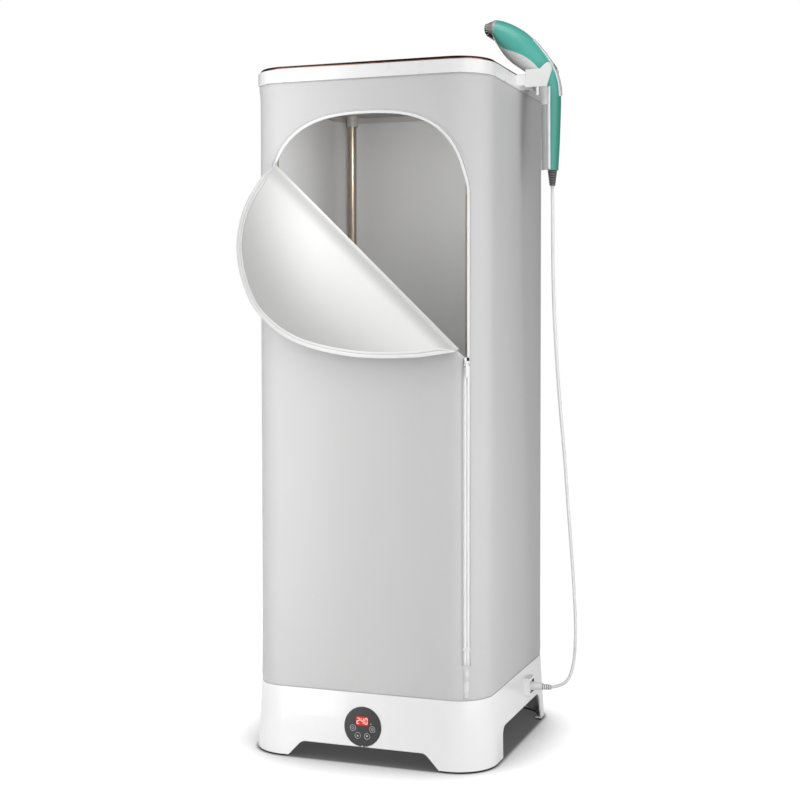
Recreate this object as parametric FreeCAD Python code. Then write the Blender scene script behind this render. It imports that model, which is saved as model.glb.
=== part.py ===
import FreeCAD, Part
import math
import os

V = FreeCAD.Vector
UP = V(0, 0, 1)
RIGHT = V(1, 0, 0)
BACK = V(0, 1, 0)

# Cabinet: the cloth cover, the base under it and the lid on top of it
CAB_W = 575.0
CAB_D = 575.0
CAB_R = 83.0
BASE_TOP = 161.0
RIM_TOP = 1600.0
RIM_H = 30.0
RIM_BOTTOM = RIM_TOP - RIM_H
SIDE_X = CAB_W / 2
FRONT_Y = -CAB_D / 2
CORNER_Y = FRONT_Y + CAB_R
CLOTH = 1.5
CLOTH_GAP = 0.3
FIT = 0.3

# Base housing and the two kinds of foot arch
PAD_H = 4.0
PAD_IN = 1.5
PAD_WIDTH = 14.0
BASE_FLARE = 10.0
BASE_WALL = 3.0
FRONT_ARCH_LEG = 97.5
FRONT_ARCH_LEAN = 38.0
FRONT_ARCH_FOOT = SIDE_X - FRONT_ARCH_LEG
FRONT_ARCH_HEAD = FRONT_ARCH_FOOT - FRONT_ARCH_LEAN
FRONT_ARCH_H = 39.0
FRONT_ARCH_R = 22.0
SIDE_ARCH_FRONT_LEG = 127.5
SIDE_ARCH_BACK_LEG = 97.5
SIDE_ARCH_FRONT = FRONT_Y + SIDE_ARCH_FRONT_LEG
SIDE_ARCH_BACK = -FRONT_Y - SIDE_ARCH_BACK_LEG
SIDE_ARCH_LEAN = 12.0
SIDE_ARCH_H = 73.0
SIDE_ARCH_R = 25.0

# Bottom pan, deck and the posts between them
PAN_Z = 42.0
PAN_T = 2.5
PAN_IN = 59.5
PAN_HALF = SIDE_X - PAN_IN
PAN_STEP = 3.0
DECK_T = 3.0
LIP_H = 14.0
LIP_T = 3.5
POST_IN_X = 23.0
POST_IN_Y = 72.5
POST_X = PAN_HALF - POST_IN_X
POST_Y = -FRONT_Y - POST_IN_Y
POST_D = 12.0
SCREW_D = 4.0
SCREW_L = 20.0
SCREW_HEAD_D = 8.0
SCREW_HEAD_H = 2.2

# Fan, heater and outlet
FAN_Y = 40.0
DUCT_ID = 198.0
DUCT_T = 4.0
MOTOR_D = 62.0
MOTOR_H = 34.0
MOTOR_FOOT = 4.0
MOTOR_EDGE = 4.0
ARM_W = 12.0
ARM_COUNT = 3
SHAFT_D = 8.0
HUB_D = 50.0
HUB_H = 26.0
HUB_OVER_MOTOR = 4.0
BLADES = 7
BLADE_GAP = 3.5
BLADE_T = 2.4
BLADE_PITCH = 32.0
SHAFT_FIT = 0.05
HEATER_W = 140.0
HEATER_D = 84.0
HEATER_H = 20.0
HEATER_FINS = 13
HEATER_FRAME = 7.0
HEATER_OVER_HUB = 6.0
BAR_W = 10.0
BAR_T = 3.0
CUTOUT_H = 6.0
GRILLE_D = 216.0
GRILLE_T = 2.5
GRILLE_SLOTS = 20
GRILLE_SLOT_W = 7.0
GRILLE_HUB = 24.0
INTAKE_SLOTS = 14
INTAKE_SLOT_W = 9.0

# Power board beside the duct
POWER_EDGE = 23.0
POWER_CLEAR = 16.0
POWER_W = PAN_HALF - POWER_EDGE - POWER_CLEAR - DUCT_T - DUCT_ID / 2
POWER_X = PAN_HALF - POWER_EDGE - POWER_W / 2
POWER_Y = 60.0
POWER_L = 150.0
POWER_UP = 8.0
POWER_LEG_R = 3.5
POWER_LEG_IN = 6.0
RELAY_W = 22.0
RELAY_L = 30.0
RELAY_H = 18.0
RELAY_IN = 9.0
COIL_W = 40.0
COIL_L = 38.0
COIL_H = 28.0
COIL_IN = 11.0
CAN_R = 8.0
CAN_H = 24.0
CAN_IN = 19.0
ROW_START = 15.0
ROW_GAP = 10.0
CAN_GAP = 22.0

# Round panel on the front of the base
PANEL_Z = 85.0
PANEL_D = 91.0
PANEL_PROUD = 0.8
PANEL_FLANGE = 8.0
PANEL_FLANGE_T = 2.0
PANEL_FIT = 0.25
SHOW_W = 33.0
SHOW_H = 24.0
SHOW_X = -1.7
SHOW_UP = 13.0
SHOW_DEEP = 1.2
KEY_D = 15.0
KEY_PROUD = 0.5
KEY_OUT_X = 24.0
KEY_OUT_UP = -4.0
KEY_IN_X = 11.5
KEY_IN_UP = -20.7
BOARD_D = 78.0
BOARD_T = 1.6
BOARD_BACK = 9.0

# Outlet for the steamer on the right of the base, and the inlet gland at the back
SOCKET_Y = 76.0
SOCKET_Z = 116.0
SOCKET_W = 46.0
SOCKET_H = 43.0
SOCKET_OUT = 11.5
SOCKET_WALL = 3.0
SOCKET_DEEP = 8.0
GLAND_IN = 107.5
GLAND_X = GLAND_IN - SIDE_X
GLAND_Z = 75.0
GLAND_D = 18.0
GLAND_OUT = 12.0
GLAND_HEX = 26.0

# Poles, couplers and the hanging rail
POLE_IN = 44.5
POLE_X = SIDE_X - POLE_IN
POLE_Y = -FRONT_Y - POLE_IN
POLE_D = 22.0
POLE_T = 1.2
POLE_FIT = 0.1
POLE_RUNS = 2
COUPLER_L = 50.0
COUPLER_T = 2.0
CUP_D = 30.0
CUP_H = 28.0
RAIL_DOWN = 24.0
RAIL_Z = RIM_BOTTOM - RAIL_DOWN
RAIL_D = 18.0
RAIL_IN = 52.5
RAIL_HALF = SIDE_X - RAIL_IN
RAIL_HANGER_W = 26.0
RAIL_HANGER_T = 8.0

# Lid
RIM_OUT = 5.0
RIM_WALL = 3.0
LINER_T = 4.0
PLATE_IN = 6.0
PLATE_H = 8.0
PLATE_ROUND = 2.0
TRIM_W = 3.0
TRIM_H = 2.5
BOSS_D = 14.0
BOSS_IN = 72.5
BOSS_X = SIDE_X - BOSS_IN

# Mouth in the front and the zip that runs round it
ZIP_IN = 42.5
ZIP_X = SIDE_X - ZIP_IN
ZIP_SLOT = 2.0
ZIP_TAPE = 8.0
ZIP_TAPE_T = 1.4
ZIP_LOW = 282.0
ZIP_TAIL = 188.0
MOUTH_IN = 59.5
MOUTH_LEFT = MOUTH_IN - SIDE_X
ARCH_DOWN = 82.0
ARCH_TOP = RIM_BOTTOM - ARCH_DOWN
ARCH_R = 182.0
FOLD_A_IN = 14.0
FOLD_A_X = MOUTH_LEFT + FOLD_A_IN
FOLD_A_DOWN = 120.0
FOLD_B_DOWN = 556.0
FOLD_A_Z = ARCH_TOP - FOLD_A_DOWN
FOLD_B_Z = ARCH_TOP - FOLD_B_DOWN
STOP_W = 16.0
STOP_H = 5.0
STOP_T = 2.2

# Flap, shown folded open over the front
FLAP_IN = 4.0
FLAP_LEFT_OUT = 27.0
FLAP_RIGHT_IN = 12.0
FLAP_LEFT = MOUTH_LEFT - FLAP_LEFT_OUT
FLAP_RIGHT = ZIP_X - FLAP_RIGHT_IN
FLAP_DOWN = 13.0
FLAP_TOP = ARCH_TOP - FLAP_DOWN
FLAP_CROWN = 4.0
FLAP_R_SHORT = 222.0
FLAP_R_LONG = FLAP_RIGHT - FLAP_LEFT - FLAP_R_SHORT - FLAP_CROWN
FLAP_T = 1.6
FLAP_SAG = 16.0
FLAP_END = 14.0
FLAP_EDGE = 17.0
FLAP_EDGE_T = 1.0
ROLL_R = 9.0
FLAP_STAND = 1.1

# Zip slider and its tab
SLIDER_DOWN = 6.0
SLIDER_Z = FOLD_B_Z - SLIDER_DOWN
SLIDER_W = 12.0
SLIDER_H = 20.0
SLIDER_T = 2.0
SLIDER_CLEAR = 0.5
KEEL_W = 1.0
KEEL_H = 8.0
LUG_T = 1.6
LUG_H = 5.0
PIN_D = 2.0
PIN_FIT = 0.06
TAB_W = 7.0
TAB_L = 34.0
TAB_T = 2.0
EYE_D = 4.6

# Holder on the rim for the steamer
HOLD_HALF = 35.0
HOLD_DOWN = 24.0
HOLD_UP = 3.0
HOLD_Z0 = RIM_TOP - HOLD_DOWN
HOLD_Z1 = RIM_TOP + HOLD_UP
HOLD_OUT = 20.0
FORK_BACK_T = 6.0
FORK_ARM_T = 7.0
FORK_DOWN = 28.0
FORK_UP = 13.0
FORK_BACK_DOWN = 4.0
FORK_Z0 = RIM_TOP - FORK_DOWN
FORK_Z1 = RIM_TOP + FORK_UP
FORK_BACK_Z1 = RIM_TOP - FORK_BACK_DOWN
FORK_REACH = 39.5
FORK_TIP = 26.0
FORK_HEEL = 12.0
FORK_NOSE = 6.0
FORK_RISE = 4.0
FORK_SINK = 1.0
FORK_TIP_UP = 27.0
FORK_TIP_Z = RIM_TOP + FORK_TIP_UP
PEG_D = 8.0
PEG_L = 20.0
PEG_IN = 10.0
HOLD_SCREW_Y = 20.0

# Steamer: sections along its middle line, from the cabinet's right side and the top of its rim, then its pieces
SECTIONS = (
    (97.5, -224.0, 57.0, -224.0, 19.0),
    (99.5, -185.0, 57.0, -185.0, 20.0),
    (101.5, -140.0, 57.0, -140.0, 21.0),
    (103.0, -92.0, 57.0, -92.0, 21.5),
    (103.5, -48.0, 55.5, -53.0, 22.0),
    (99.0, -12.0, 49.5, -29.0, 23.0),
    (86.5, 22.0, 37.5, -8.0, 24.5),
    (64.5, 56.0, 18.5, 11.0, 27.5),
    (37.5, 89.0, -5.5, 28.0, 33.0),
    (5.5, 116.0, -28.5, 47.0, 37.5),
    (-27.5, 133.5, -44.5, 67.0, 40.0),
    (-56.5, 142.0, -56.5, 87.0, 37.0),
)
SPOTS = 8
SHELL_T = 3.0
BORE_D = 33.0
CUP_R = 27.0
SEAM_X = 76.5
SEAM = (
    (SEAM_X, -17.0),
    (52.5, 19.0),
    (17.5, 48.0),
    (-16.5, 62.0),
    (-37.5, 73.0),
    (-49.5, 89.0),
    (-58.5, 114.0),
    (-65.5, 160.0),
)
TANK_FOOT = 200.0
TANK_HEAD = 69.0
TANK_Z0 = RIM_TOP - TANK_FOOT
TANK_Z1 = RIM_TOP - TANK_HEAD
STRIP_T = 1.8
STRIP_W = 18.0
SWITCH_AT = 6
SWITCH_L = 14.0
SWITCH_W = 9.0
SWITCH_PROUD = 3.6
SWITCH_DEEP = 6.0
SWITCH_FIT = 0.4
BRUSH_L = 21.0
BRUSH_TIP_A = 15.0
BRUSH_TIP_B = 30.0
BRUSH_TIP_UP = 3.5
BRUSH_BASE_A = 25.5
BRUSH_BASE_B = 35.5
BRUSH_T = 5.0
STEAM_PLATE_BACK = 7.0
STEAM_HEATER_D = 30.0
STEAM_HEATER_IN = 2.0

# Cord from the steamer to the outlet, its way measured from the cabinet's right side
CORD_D = 8.0
RELIEF_OUT = 83.5
RELIEF_X = SIDE_X + RELIEF_OUT
RELIEF_L = 36.0
RELIEF_TOP_R = 10.5
RELIEF_LOW_R = 6.0
RELIEF_RIBS = 3
PLUG_FLANGE_D = 29.0
PLUG_FLANGE_T = 5.0
PLUG_BODY_L = 30.0
PLUG_BODY_R0 = 11.0
PLUG_BODY_R1 = 8.5
PLUG_RELIEF_L = 20.0
PLUG_RELIEF_R = 7.4
PLUG_RELIEF_END_R = 6.2
CORD_ROOM = 1.0
PIN_PLUG_D = 4.8
PIN_PLUG_GAP = 19.0
CORD_MID = (
    (83.5, 4.0, 1252.0),
    (82.5, 10.0, 1145.0),
    (84.5, 17.0, 1030.0),
    (89.5, 25.0, 915.0),
    (96.5, 33.0, 800.0),
    (105.5, 41.0, 688.0),
    (111.5, 49.0, 577.0),
    (118.5, 57.0, 467.0),
    (124.5, 64.0, 360.0),
    (127.5, 70.0, 264.0),
    (123.5, 74.0, 190.0),
    (112.5, 76.0, 146.0),
    (92.5, 76.0, 122.0),
)


def on_xz(y):
    return lambda u, v: V(u, y, v)


def on_yz(x):
    return lambda u, v: V(x, u, v)


def on_xy(z):
    return lambda u, v: V(u, v, z)


def loop(corners, place):
    """A closed wire through corners (u, v, radius), each rounded by a tangent arc."""
    ends = []
    count = len(corners)
    for i in range(count):
        u, v, radius = corners[i]
        here = V(u, v, 0)
        before = V(corners[i - 1][0], corners[i - 1][1], 0) - here
        after = V(corners[(i + 1) % count][0], corners[(i + 1) % count][1], 0) - here
        before.normalize()
        after.normalize()
        half = before.getAngle(after) / 2
        if radius <= 0:
            ends.append((here, None, here))
            continue
        reach = radius / math.tan(half)
        middle = before + after
        middle.normalize()
        bulge = here + middle * (radius / math.sin(half) - radius)
        ends.append((here + before * reach, bulge, here + after * reach))
    edges = []
    for i in range(count):
        first, bulge, last = [None if p is None else place(p.x, p.y) for p in ends[i]]
        if bulge is not None:
            edges.append(Part.Arc(first, bulge, last).toShape())
        start = ends[(i + 1) % count][0]
        following = place(start.x, start.y)
        if last.distanceToPoint(following) > 1e-6:
            edges.append(Part.LineSegment(last, following).toShape())
    return Part.Wire(edges)


def slab(corners, place, push):
    return Part.Face(loop(corners, place)).extrude(push)


def block(x0, x1, y0, y1, z0, z1):
    return Part.makeBox(x1 - x0, y1 - y0, z1 - z0, V(x0, y0, z0))


def rod(radius, height, at, along=UP):
    return Part.makeCylinder(radius, height, at, along)


def pipe(outer, inner, height, at, along=UP):
    return rod(outer, height, at, along).cut(rod(inner, height, at, along))


def round_rect(w, d, r, z):
    half_w = w / 2
    half_d = d / 2
    corners = [(half_w, half_d, r), (-half_w, half_d, r), (-half_w, -half_d, r), (half_w, -half_d, r)]
    return loop(corners, on_xy(z))


def plate(grow, z0, z1):
    """A rounded plate that follows the cabinet outline, larger by grow on every side."""
    face = Part.Face(round_rect(CAB_W + 2 * grow, CAB_D + 2 * grow, CAB_R + grow, z0))
    return face.extrude(V(0, 0, z1 - z0))


def ring(outer, inner, z0, z1):
    return plate(outer, z0, z1).cut(plate(inner, z0, z1))


def flare_at(z):
    return BASE_FLARE * (BASE_TOP - z) / (BASE_TOP - PAD_H)


def base_body(inset):
    """The tapering body of the base, smaller by inset on every side."""
    wires = []
    for z in (PAD_H, BASE_TOP):
        grow = flare_at(z) - inset
        wires.append(round_rect(CAB_W + 2 * grow, CAB_D + 2 * grow, CAB_R + grow, z))
    return Part.makeLoft(wires, True, True)


def four(x, y):
    return [(sx * x, sy * y) for sx in (-1, 1) for sy in (-1, 1)]


def joined(shapes):
    whole = shapes[0]
    if len(shapes) > 1:
        whole = whole.fuse(shapes[1:])
    return whole.removeSplitter()


def front_arch():
    slope = (FRONT_ARCH_FOOT - FRONT_ARCH_HEAD) / FRONT_ARCH_H
    low = FRONT_ARCH_FOOT + slope
    corners = [
        (-low, -1, 0),
        (-FRONT_ARCH_HEAD, FRONT_ARCH_H, FRONT_ARCH_R),
        (FRONT_ARCH_HEAD, FRONT_ARCH_H, FRONT_ARCH_R),
        (low, -1, 0),
    ]
    return slab(corners, on_xz(-CAB_D), V(0, 2 * CAB_D, 0))


def side_arch():
    corners = [
        (SIDE_ARCH_FRONT, -1, 0),
        (SIDE_ARCH_FRONT + SIDE_ARCH_LEAN, SIDE_ARCH_H, SIDE_ARCH_R),
        (SIDE_ARCH_BACK - SIDE_ARCH_LEAN, SIDE_ARCH_H, SIDE_ARCH_R),
        (SIDE_ARCH_BACK, -1, 0),
    ]
    return slab(corners, on_yz(-CAB_W), V(2 * CAB_W, 0, 0))


def panel_place():
    """Moves a piece built round the origin, facing up, onto the leaning front of the base."""
    lean = math.degrees(math.atan2(BASE_FLARE, BASE_TOP - PAD_H))
    at = V(0, -CAB_D / 2 - flare_at(PANEL_Z), PANEL_Z)
    return FreeCAD.Placement(at, FreeCAD.Rotation(RIGHT, 90 - lean))


def set_in_panel(shape):
    moved = shape.copy()
    moved.Placement = panel_place()
    return moved


def control_panel():
    whole = rod(PANEL_D / 2, PANEL_PROUD + BASE_WALL, V(0, 0, -BASE_WALL))
    flange = rod(PANEL_D / 2 + PANEL_FLANGE, PANEL_FLANGE_T, V(0, 0, -BASE_WALL - PANEL_FLANGE_T))
    above_pan = (PANEL_Z - PAN_Z - PAN_T) - 2 * FIT
    under = Part.makeBox(2 * PANEL_D, PANEL_D, PANEL_FLANGE_T + FIT, V(-PANEL_D, -PANEL_D - above_pan, 0))
    under.translate(V(0, 0, -BASE_WALL - PANEL_FLANGE_T))
    window = Part.makeBox(SHOW_W, SHOW_H, SHOW_DEEP + 1, show_corner(PANEL_PROUD - SHOW_DEEP))
    return set_in_panel(joined([whole, flange]).cut(under).cut(window))


def show_corner(w):
    return V(SHOW_X - SHOW_W / 2, SHOW_UP - SHOW_H / 2, w)


def display_window():
    return set_in_panel(Part.makeBox(SHOW_W, SHOW_H, SHOW_DEEP, show_corner(PANEL_PROUD - SHOW_DEEP)))


def touch_keys():
    spots = [(sx * KEY_OUT_X, KEY_OUT_UP) for sx in (-1, 1)] + [(sx * KEY_IN_X, KEY_IN_UP) for sx in (-1, 1)]
    return Part.makeCompound([set_in_panel(rod(KEY_D / 2, KEY_PROUD, V(x, up, PANEL_PROUD))) for x, up in spots])


def control_board():
    back = -BASE_WALL - PANEL_FLANGE_T
    board = rod(BOARD_D / 2, BOARD_T, V(0, 0, back - BOARD_BACK - BOARD_T))
    legs = []
    for i in range(3):
        turn = math.radians(90 + 120 * i)
        spot = V(math.cos(turn), math.sin(turn), 0) * (BOARD_D / 2 - 6)
        legs.append(rod(3, BOARD_BACK, spot + V(0, 0, back - BOARD_BACK)))
    return set_in_panel(joined([board] + legs))


def socket_wall_x():
    return CAB_W / 2 + flare_at(SOCKET_Z - SOCKET_H / 2)


def base_housing():
    shell = base_body(0).cut(base_body(BASE_WALL))
    floor_in = BASE_FLARE - BASE_WALL / 2
    sole = ring(floor_in, floor_in - PAD_WIDTH, PAD_H, PAD_H + BASE_WALL)
    shell = joined([shell, sole])
    shell = shell.cut(front_arch()).cut(side_arch())
    hole = set_in_panel(rod(PANEL_D / 2 + PANEL_FIT, 8 * BASE_WALL, V(0, 0, -4 * BASE_WALL)))
    outlet = slab(socket_corners(SOCKET_WALL), on_yz(0), V(CAB_W, 0, 0))
    gland = rod(GLAND_D / 2, CAB_D, V(GLAND_X, 0, GLAND_Z), BACK)
    return shell.cut(hole).cut(outlet).cut(gland)


def socket_corners(inset):
    half_w = SOCKET_W / 2 - inset
    half_h = SOCKET_H / 2 - inset
    y0, y1 = SOCKET_Y - half_w, SOCKET_Y + half_w
    z0, z1 = SOCKET_Z - half_h, SOCKET_Z + half_h
    return [(y0, z0, 3), (y1, z0, 3), (y1, z1, 3), (y0, z1, 3)]


def socket_face_x():
    return socket_wall_x() + SOCKET_OUT


def side_socket():
    """A white frame that stands off the wall, with a dark well behind it."""
    inner = socket_wall_x() - 2 * BASE_WALL
    frame = slab(socket_corners(0), on_yz(inner), V(socket_face_x() - inner, 0, 0))
    frame = frame.cut(base_body(0))
    neck = slab(socket_corners(SOCKET_WALL), on_yz(inner - 20), V(socket_face_x() - inner + 20, 0, 0))
    well = slab(socket_corners(2 * SOCKET_WALL), on_yz(inner - 30), V(socket_face_x() - inner + 30, 0, 0))
    return joined([frame.cut(neck), neck]).cut(well)


def socket_insert():
    inner = socket_wall_x() - 2 * BASE_WALL - 20
    front = socket_face_x() - SOCKET_DEEP
    core = slab(socket_corners(2 * SOCKET_WALL), on_yz(inner), V(front - inner, 0, 0))
    for side in (-1, 1):
        at = V(inner + 4, SOCKET_Y + side * PIN_PLUG_GAP / 2, SOCKET_Z)
        core = core.cut(rod(PIN_PLUG_D / 2 + PIN_FIT, front, at, RIGHT))
    return core


def mains_gland():
    wall = CAB_D / 2 + flare_at(GLAND_Z)
    at = V(GLAND_X, wall - 4 * BASE_WALL, GLAND_Z)
    body = rod(GLAND_D / 2, 4 * BASE_WALL + GLAND_OUT, at, BACK)
    foot = CAB_D / 2 + flare_at(GLAND_Z - GLAND_HEX / 2)
    collar = rod(GLAND_HEX / 2, GLAND_OUT / 2, V(GLAND_X, foot, GLAND_Z), BACK)
    bore = rod(CORD_D / 2, CAB_D, V(GLAND_X, 0, GLAND_Z), BACK)
    return joined([body, collar]).cut(bore)


def rubber_feet():
    grow = BASE_FLARE - PAD_IN
    pads = ring(grow, grow - PAD_WIDTH, 0, PAD_H).cut(front_arch()).cut(side_arch())
    return Part.makeCompound(pads.Solids)


def bottom_pan():
    step_z = SIDE_ARCH_H + PAN_STEP
    far = CAB_W
    corners = [
        (-far, step_z, 0),
        (-PAN_HALF, step_z, 0),
        (-PAN_HALF, PAN_Z, 0),
        (PAN_HALF, PAN_Z, 0),
        (PAN_HALF, step_z, 0),
        (far, step_z, 0),
        (far, step_z + PAN_T, 0),
        (PAN_HALF - PAN_T, step_z + PAN_T, 0),
        (PAN_HALF - PAN_T, PAN_Z + PAN_T, 0),
        (-PAN_HALF + PAN_T, PAN_Z + PAN_T, 0),
        (-PAN_HALF + PAN_T, step_z + PAN_T, 0),
        (-far, step_z + PAN_T, 0),
    ]
    pan = slab(corners, on_xz(-CAB_D), V(0, 2 * CAB_D, 0)).common(base_body(BASE_WALL))
    floor = PAN_Z + PAN_T
    posts = [rod(POST_D / 2, deck_z() - floor, V(x, y, floor)) for x, y in four(POST_X, POST_Y)]
    pan = joined([pan] + posts)
    for x, y in four(POST_X, POST_Y):
        pan = pan.cut(rod(SCREW_D / 2, SCREW_L, V(x, y, PAN_Z)))
    reach = DUCT_ID / 2 - MOTOR_D / 2 - 8
    for i in range(INTAKE_SLOTS):
        slot = block(MOTOR_D / 2 + 4, MOTOR_D / 2 + 4 + reach, -INTAKE_SLOT_W / 2, INTAKE_SLOT_W / 2, 0, CAB_R)
        slot.rotate(V(0, 0, 0), UP, 360.0 * i / INTAKE_SLOTS)
        slot.translate(V(0, FAN_Y, 0))
        pan = pan.cut(slot)
    return pan


def case_screws():
    """Eight alike: four up through the pan, four up through the lid liner."""
    spots = [V(x, y, PAN_Z) for x, y in four(POST_X, POST_Y)]
    spots += [V(x, y, liner_z()) for x, y in four(BOSS_X, POLE_Y / 2)]
    screws = []
    for at in spots:
        head = rod(SCREW_HEAD_D / 2, SCREW_HEAD_H, at - UP * SCREW_HEAD_H)
        screws.append(joined([head, rod(SCREW_D / 2, SCREW_L, at)]))
    return Part.makeCompound(screws)


def deck_z():
    return BASE_TOP - DECK_T


def base_deck():
    cloth_in = -CLOTH - CLOTH_GAP / 2
    deck = plate(CAB_R, deck_z(), BASE_TOP).common(base_body(BASE_WALL))
    lip = ring(cloth_in, cloth_in - LIP_T, BASE_TOP, BASE_TOP + LIP_H)
    cups = [pipe(CUP_D / 2, POLE_D / 2 + POLE_FIT, CUP_H, V(x, y, BASE_TOP)) for x, y in four(POLE_X, POLE_Y)]
    deck = joined([deck, lip] + cups)
    return deck.cut(rod(DUCT_ID / 2, 2 * DECK_T, V(0, FAN_Y, deck_z() - DECK_T / 2)))


def fan_duct():
    floor = PAN_Z + PAN_T
    tube = pipe(DUCT_ID / 2 + DUCT_T, DUCT_ID / 2, deck_z() - floor, V(0, FAN_Y, floor))
    return joined([tube] + heater_bars())


def motor_z():
    return PAN_Z + PAN_T + MOTOR_FOOT


def motor_bracket():
    low = PAN_Z + PAN_T
    reach = DUCT_ID / 2
    parts = [rod(MOTOR_D / 2, MOTOR_FOOT, V(0, FAN_Y, low))]
    for i in range(ARM_COUNT):
        arm = block(0, reach + 1, -ARM_W / 2, ARM_W / 2, low, low + MOTOR_FOOT)
        arm.rotate(V(0, 0, 0), UP, 90 + 360.0 * i / ARM_COUNT)
        arm.translate(V(0, FAN_Y, 0))
        parts.append(arm)
    return joined(parts).common(rod(reach, MOTOR_FOOT, V(0, FAN_Y, low)))


def fan_motor():
    can = rod(MOTOR_D / 2, MOTOR_H, V(0, FAN_Y, motor_z()))
    can = can.makeChamfer(MOTOR_EDGE, [e for e in can.Edges if e.Vertexes[0].Z > motor_z() + 1 and e.Closed])
    return can.cut(rod(SHAFT_D / 2 + SHAFT_FIT, MOTOR_H, V(0, FAN_Y, motor_z() + MOTOR_H / 2)))


def hub_z():
    return motor_z() + MOTOR_H + HUB_OVER_MOTOR


def fan_shaft():
    low = motor_z() + MOTOR_H / 2 + 2 * FIT
    return rod(SHAFT_D / 2, hub_z() + HUB_H + 2 - low, V(0, FAN_Y, low))


def fan_impeller():
    tip = DUCT_ID / 2 - BLADE_GAP
    hub = rod(HUB_D / 2, HUB_H, V(0, 0, hub_z()))
    blades = []
    for i in range(BLADES):
        blade = block(0, tip + 5, -HUB_H, HUB_H, -BLADE_T / 2, BLADE_T / 2)
        blade.rotate(V(0, 0, 0), RIGHT, BLADE_PITCH)
        blade.translate(V(0, 0, hub_z() + HUB_H / 2))
        blade.rotate(V(0, 0, 0), UP, 360.0 * i / BLADES)
        blades.append(blade.common(pipe(tip, HUB_D / 2 - 1, HUB_H, V(0, 0, hub_z()))))
    whole = joined([hub] + blades)
    whole.translate(V(0, FAN_Y, 0))
    return whole.cut(rod(SHAFT_D / 2, CAB_R, V(0, FAN_Y, hub_z() - 1)))


def heater_z():
    return hub_z() + HUB_H + HEATER_OVER_HUB


def heater_bars():
    """Two bars across the duct that carry the heater."""
    low = heater_z() - BAR_T
    inside = rod(DUCT_ID / 2 + DUCT_T / 2, BAR_T, V(0, FAN_Y, low))
    bars = []
    for side in (-1, 1):
        y = FAN_Y + side * HEATER_D / 3
        bars.append(block(-DUCT_ID, DUCT_ID, y - BAR_W / 2, y + BAR_W / 2, low, low + BAR_T).common(inside))
    return bars


def ptc_heater():
    low = heater_z()
    half_w = HEATER_W / 2
    half_d = HEATER_D / 2
    core = block(-half_w, half_w, FAN_Y - half_d, FAN_Y + half_d, low, low + HEATER_H)
    pitch = (HEATER_W - 2 * HEATER_FRAME) / HEATER_FINS
    for i in range(HEATER_FINS):
        x = -half_w + HEATER_FRAME + pitch * i
        y0 = FAN_Y - half_d + HEATER_FRAME
        y1 = FAN_Y + half_d - HEATER_FRAME
        core = core.cut(block(x + 1, x + pitch - 1, y0, y1, low - 1, low + HEATER_H + 1))
    return core


def thermal_cutout():
    y = FAN_Y - HEATER_D / 2 + HEATER_FRAME / 2
    return rod(HEATER_FRAME / 2, CUTOUT_H, V(HEATER_W / 4, y, heater_z() + HEATER_H))


def outlet_grille():
    disc = rod(GRILLE_D / 2, GRILLE_T, V(0, 0, BASE_TOP))
    for i in range(GRILLE_SLOTS):
        slot = block(GRILLE_HUB, DUCT_ID / 2 - 6, -GRILLE_SLOT_W / 2, GRILLE_SLOT_W / 2, 0, RIM_TOP)
        slot.rotate(V(0, 0, 0), UP, 360.0 * i / GRILLE_SLOTS)
        disc = disc.cut(slot)
    disc.translate(V(0, FAN_Y, 0))
    return disc


def power_board():
    floor = PAN_Z + PAN_T
    half_w = POWER_W / 2
    half_l = POWER_L / 2
    top = floor + POWER_UP
    board = block(POWER_X - half_w, POWER_X + half_w, POWER_Y - half_l, POWER_Y + half_l, top, top + BOARD_T)
    legs = []
    for x, y in four(half_w - POWER_LEG_IN, half_l - POWER_LEG_IN):
        legs.append(rod(POWER_LEG_R, POWER_UP, V(POWER_X + x, POWER_Y + y, floor)))
    return joined([board] + legs)


def power_parts():
    """Relay, coil and capacitors, in rows from the front end of the power board."""
    top = PAN_Z + PAN_T + POWER_UP + BOARD_T
    relay_x = POWER_X - POWER_W / 2 + RELAY_IN
    relay_y = POWER_Y - POWER_L / 2 + ROW_START
    relay = block(relay_x, relay_x + RELAY_W, relay_y, relay_y + RELAY_L, top, top + RELAY_H)
    coil_x = POWER_X + POWER_W / 2 - COIL_IN
    coil_y = relay_y + RELAY_L + ROW_GAP
    coil = block(coil_x - COIL_W, coil_x, coil_y, coil_y + COIL_L, top, top + COIL_H)
    can_x = POWER_W / 2 - CAN_IN
    can_y = coil_y + COIL_L + CAN_GAP + CAN_R
    cans = [rod(CAN_R, CAN_H, V(POWER_X + dx, can_y, top)) for dx in (-can_x, 0, can_x)]
    return Part.makeCompound([relay, coil] + cans)


def pole_z(i):
    low = BASE_TOP
    return low + (liner_z() - low) * i / POLE_RUNS


def pole_run(i):
    low = pole_z(i)
    poles = []
    for x, y in four(POLE_X, POLE_Y):
        poles.append(pipe(POLE_D / 2, POLE_D / 2 - POLE_T, pole_z(i + 1) - low, V(x, y, low)))
    return Part.makeCompound(poles)


def pole_couplers():
    sleeves = []
    for i in range(1, POLE_RUNS):
        for x, y in four(POLE_X, POLE_Y):
            at = V(x, y, pole_z(i) - COUPLER_L / 2)
            sleeves.append(pipe(POLE_D / 2 + COUPLER_T, POLE_D / 2, COUPLER_L, at))
    return Part.makeCompound(sleeves)


def liner_z():
    return RIM_BOTTOM - LINER_T


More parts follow.
